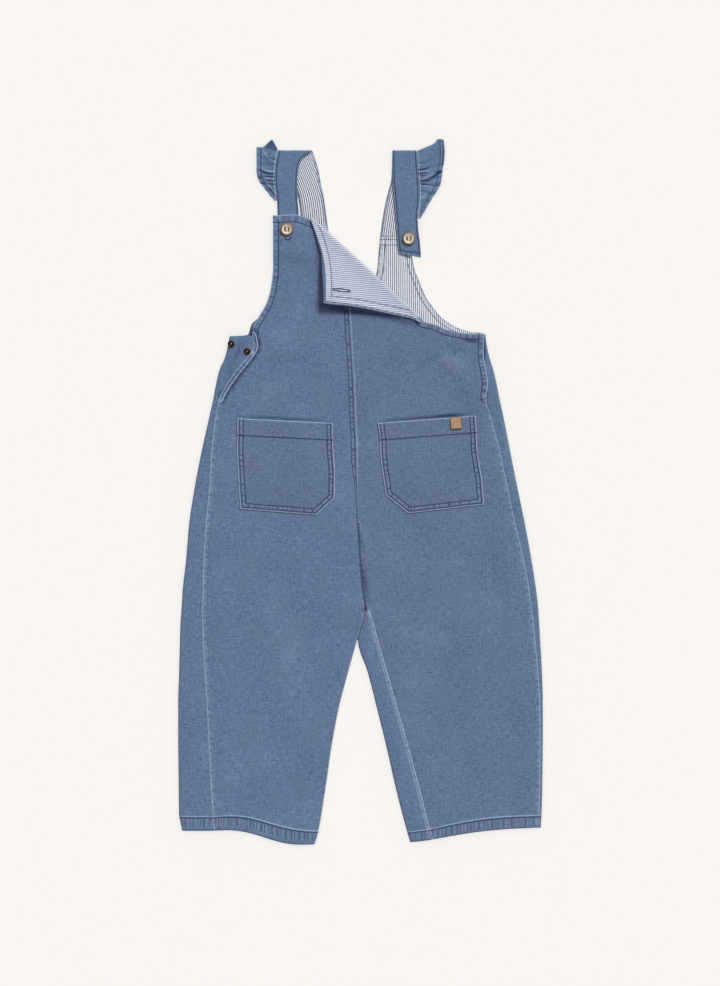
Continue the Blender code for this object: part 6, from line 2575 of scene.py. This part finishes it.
    def straps(self) -> None:
        """Straps, linings and ruffles."""
        left = Strap(LEFT, LEFT_STRAP_FRONT, LEFT_STRAP_BACK, STRAP_SEAMS)
        right = Strap(RIGHT, RIGHT_STRAP_FRONT, RIGHT_STRAP_BACK, STRAP_SEAMS, slant=5.0)
        for ruffle in (
            Ruffle(left, LEFT_RUFFLE_FRONT, LEFT_RUFFLE_BACK, LEFT_RUFFLE_PEAK, LEFT_GATHERS),
            Ruffle(right, RIGHT_RUFFLE_FRONT, RIGHT_RUFFLE_BACK, 0.0, RIGHT_GATHERS),
        ):
            outer, lining = ruffle.strap.cloths(self.finishes["strap"], self.finishes["lining"])
            item = self.lay(outer, held="folded")
            self.stitches.sew(Ground(item), *ruffle.strap.stitch_rows())
            self.lay(lining, "striped_ticking", "folded")
            self.lay(ruffle.cloth(self.finishes["ruffle"]), held="gathered")

    def trims(self) -> None:
        """Buttons and snaps."""
        arch = ((-0.8, 1.6), (-0.5, 1.9), (0.0, 2.0), (0.5, 1.9), (0.8, 1.6))
        for label, place in (("left", (-84.5, 708.0, 7.2)), ("right", (55.5, 697.5, 5.7))):
            button = StrapButton(f"strap_button_{label}_horn", place, self.finishes["horn"])
            dress(button.build(), f"strap_button_{label}", slot="horn")
            x, y, z = place
            for offset in np.arange(-2.1, 2.2, 0.6):
                self.stitches.lay([(x + a, y + offset, z + up) for a, up in arch], Yarn.WHITE)
            # Black thread laid down each slot stands in for the shade inside it
            for across in (-2.4, -1.8, -1.2, 1.2, 1.8, 2.4):
                run = [(x + across, y + along, z + 1.0) for along in (-2.5, 0.0, 2.5)]
                self.stitches.lay(run, Yarn.BLACK)
        for label, place in (("outer", (-148.6, 576.3, 5.5)), ("inner", (-130.4, 567.6, 5.5))):
            snap = side_snap(f"side_snap_{label}_brass", place, self.finishes["brass"])
            dress(snap, f"side_snap_{label}", slot="antique_brass")


# ------------------------------------------------------------------ studio


@dataclass
class Studio:
    """Pale floor, soft light and a camera straight above."""

    floor: str = "#F9F6F1"
    middle: tuple[float, float] = (-0.0006, -0.0004)
    field: float = 1.1339
    distance: float = 3.2

    def build(self) -> None:
        """Sets it up."""
        reach = 12.0
        corners = [(x * reach, y * reach, 0.0) for x, y in ((-1, -1), (1, -1), (1, 1), (-1, 1))]
        floor = new_item("floor", corners, faces=[(0, 1, 2, 3)])
        floor.data.materials.append(Paper("background_paper", self.floor).make())
        self.world()
        self.lamp("key", (0.75, 1.2, 1.45), 16.0, 2.67, floor)
        self.lamp("fill", (-1.2, -0.5, 1.9), 70.0, 0.2, floor)
        self.lamp("wash", (0.0, 0.0, 2.0), 90.0, 2.08, floor, on_floor=True)
        self.camera()

    def world(self) -> None:
        """Even light from all round."""
        world = bpy.data.worlds.new("studio")
        world.use_nodes = True
        back = world.node_tree.nodes["Background"]
        back.inputs["Color"].default_value = (1.0, 1.0, 1.0, 1.0)
        back.inputs["Strength"].default_value = 0.34
        bpy.context.scene.world = world

    def lamp(
        self, name: str, place: tuple[float, float, float], spread: float, power: float,
        floor: Item, on_floor: bool = False,
    ) -> None:
        """Adds a wide, far soft box.

        Args:
            name: of the lamp.
            place: the direction it shines from.
            spread: the angle it is seen under, in degrees.
            power: its strength.
            floor: the floor, which a wash of its own keeps clean of shadows.
            on_floor: whether the lamp lights the floor alone, or else all but the floor.
        """
        light = bpy.data.lights.new(name, "SUN")
        light.angle = math.radians(spread)
        light.energy = power
        light.use_shadow = not on_floor
        item = bpy.data.objects.new(name, light)
        item.location = place
        item.rotation_euler = Vector(place).to_track_quat("Z", "Y").to_euler()
        bpy.context.scene.collection.objects.link(item)
        lit = bpy.data.collections.new(f"lit by {name}")
        lit.objects.link(floor)
        lit.collection_objects[0].light_linking.link_state = "INCLUDE" if on_floor else "EXCLUDE"
        item.light_linking.receiver_collection = lit

    def camera(self) -> None:
        """A long lens straight above the garment."""
        lens = bpy.data.cameras.new("camera")
        lens.sensor_width = 36.0
        lens.lens = lens.sensor_width * self.distance / self.field
        item = bpy.data.objects.new("camera", lens)
        item.location = (*self.middle, self.distance)
        bpy.context.scene.collection.objects.link(item)
        bpy.context.scene.camera = item
        bpy.context.scene.view_settings.view_transform = "Standard"


def main() -> None:
    """Builds the dressed garment and its studio."""
    logging.basicConfig(level=logging.INFO, format="%(message)s")
    garment = Garment(Stitching(stitch_tree()))
    garment.make_finishes()
    garment.panels()
    garment.pockets()
    garment.straps()
    garment.trims()
    garment.stitches.build(garment.finishes)
    Studio().build()


if __name__ == "__main__":
    main()
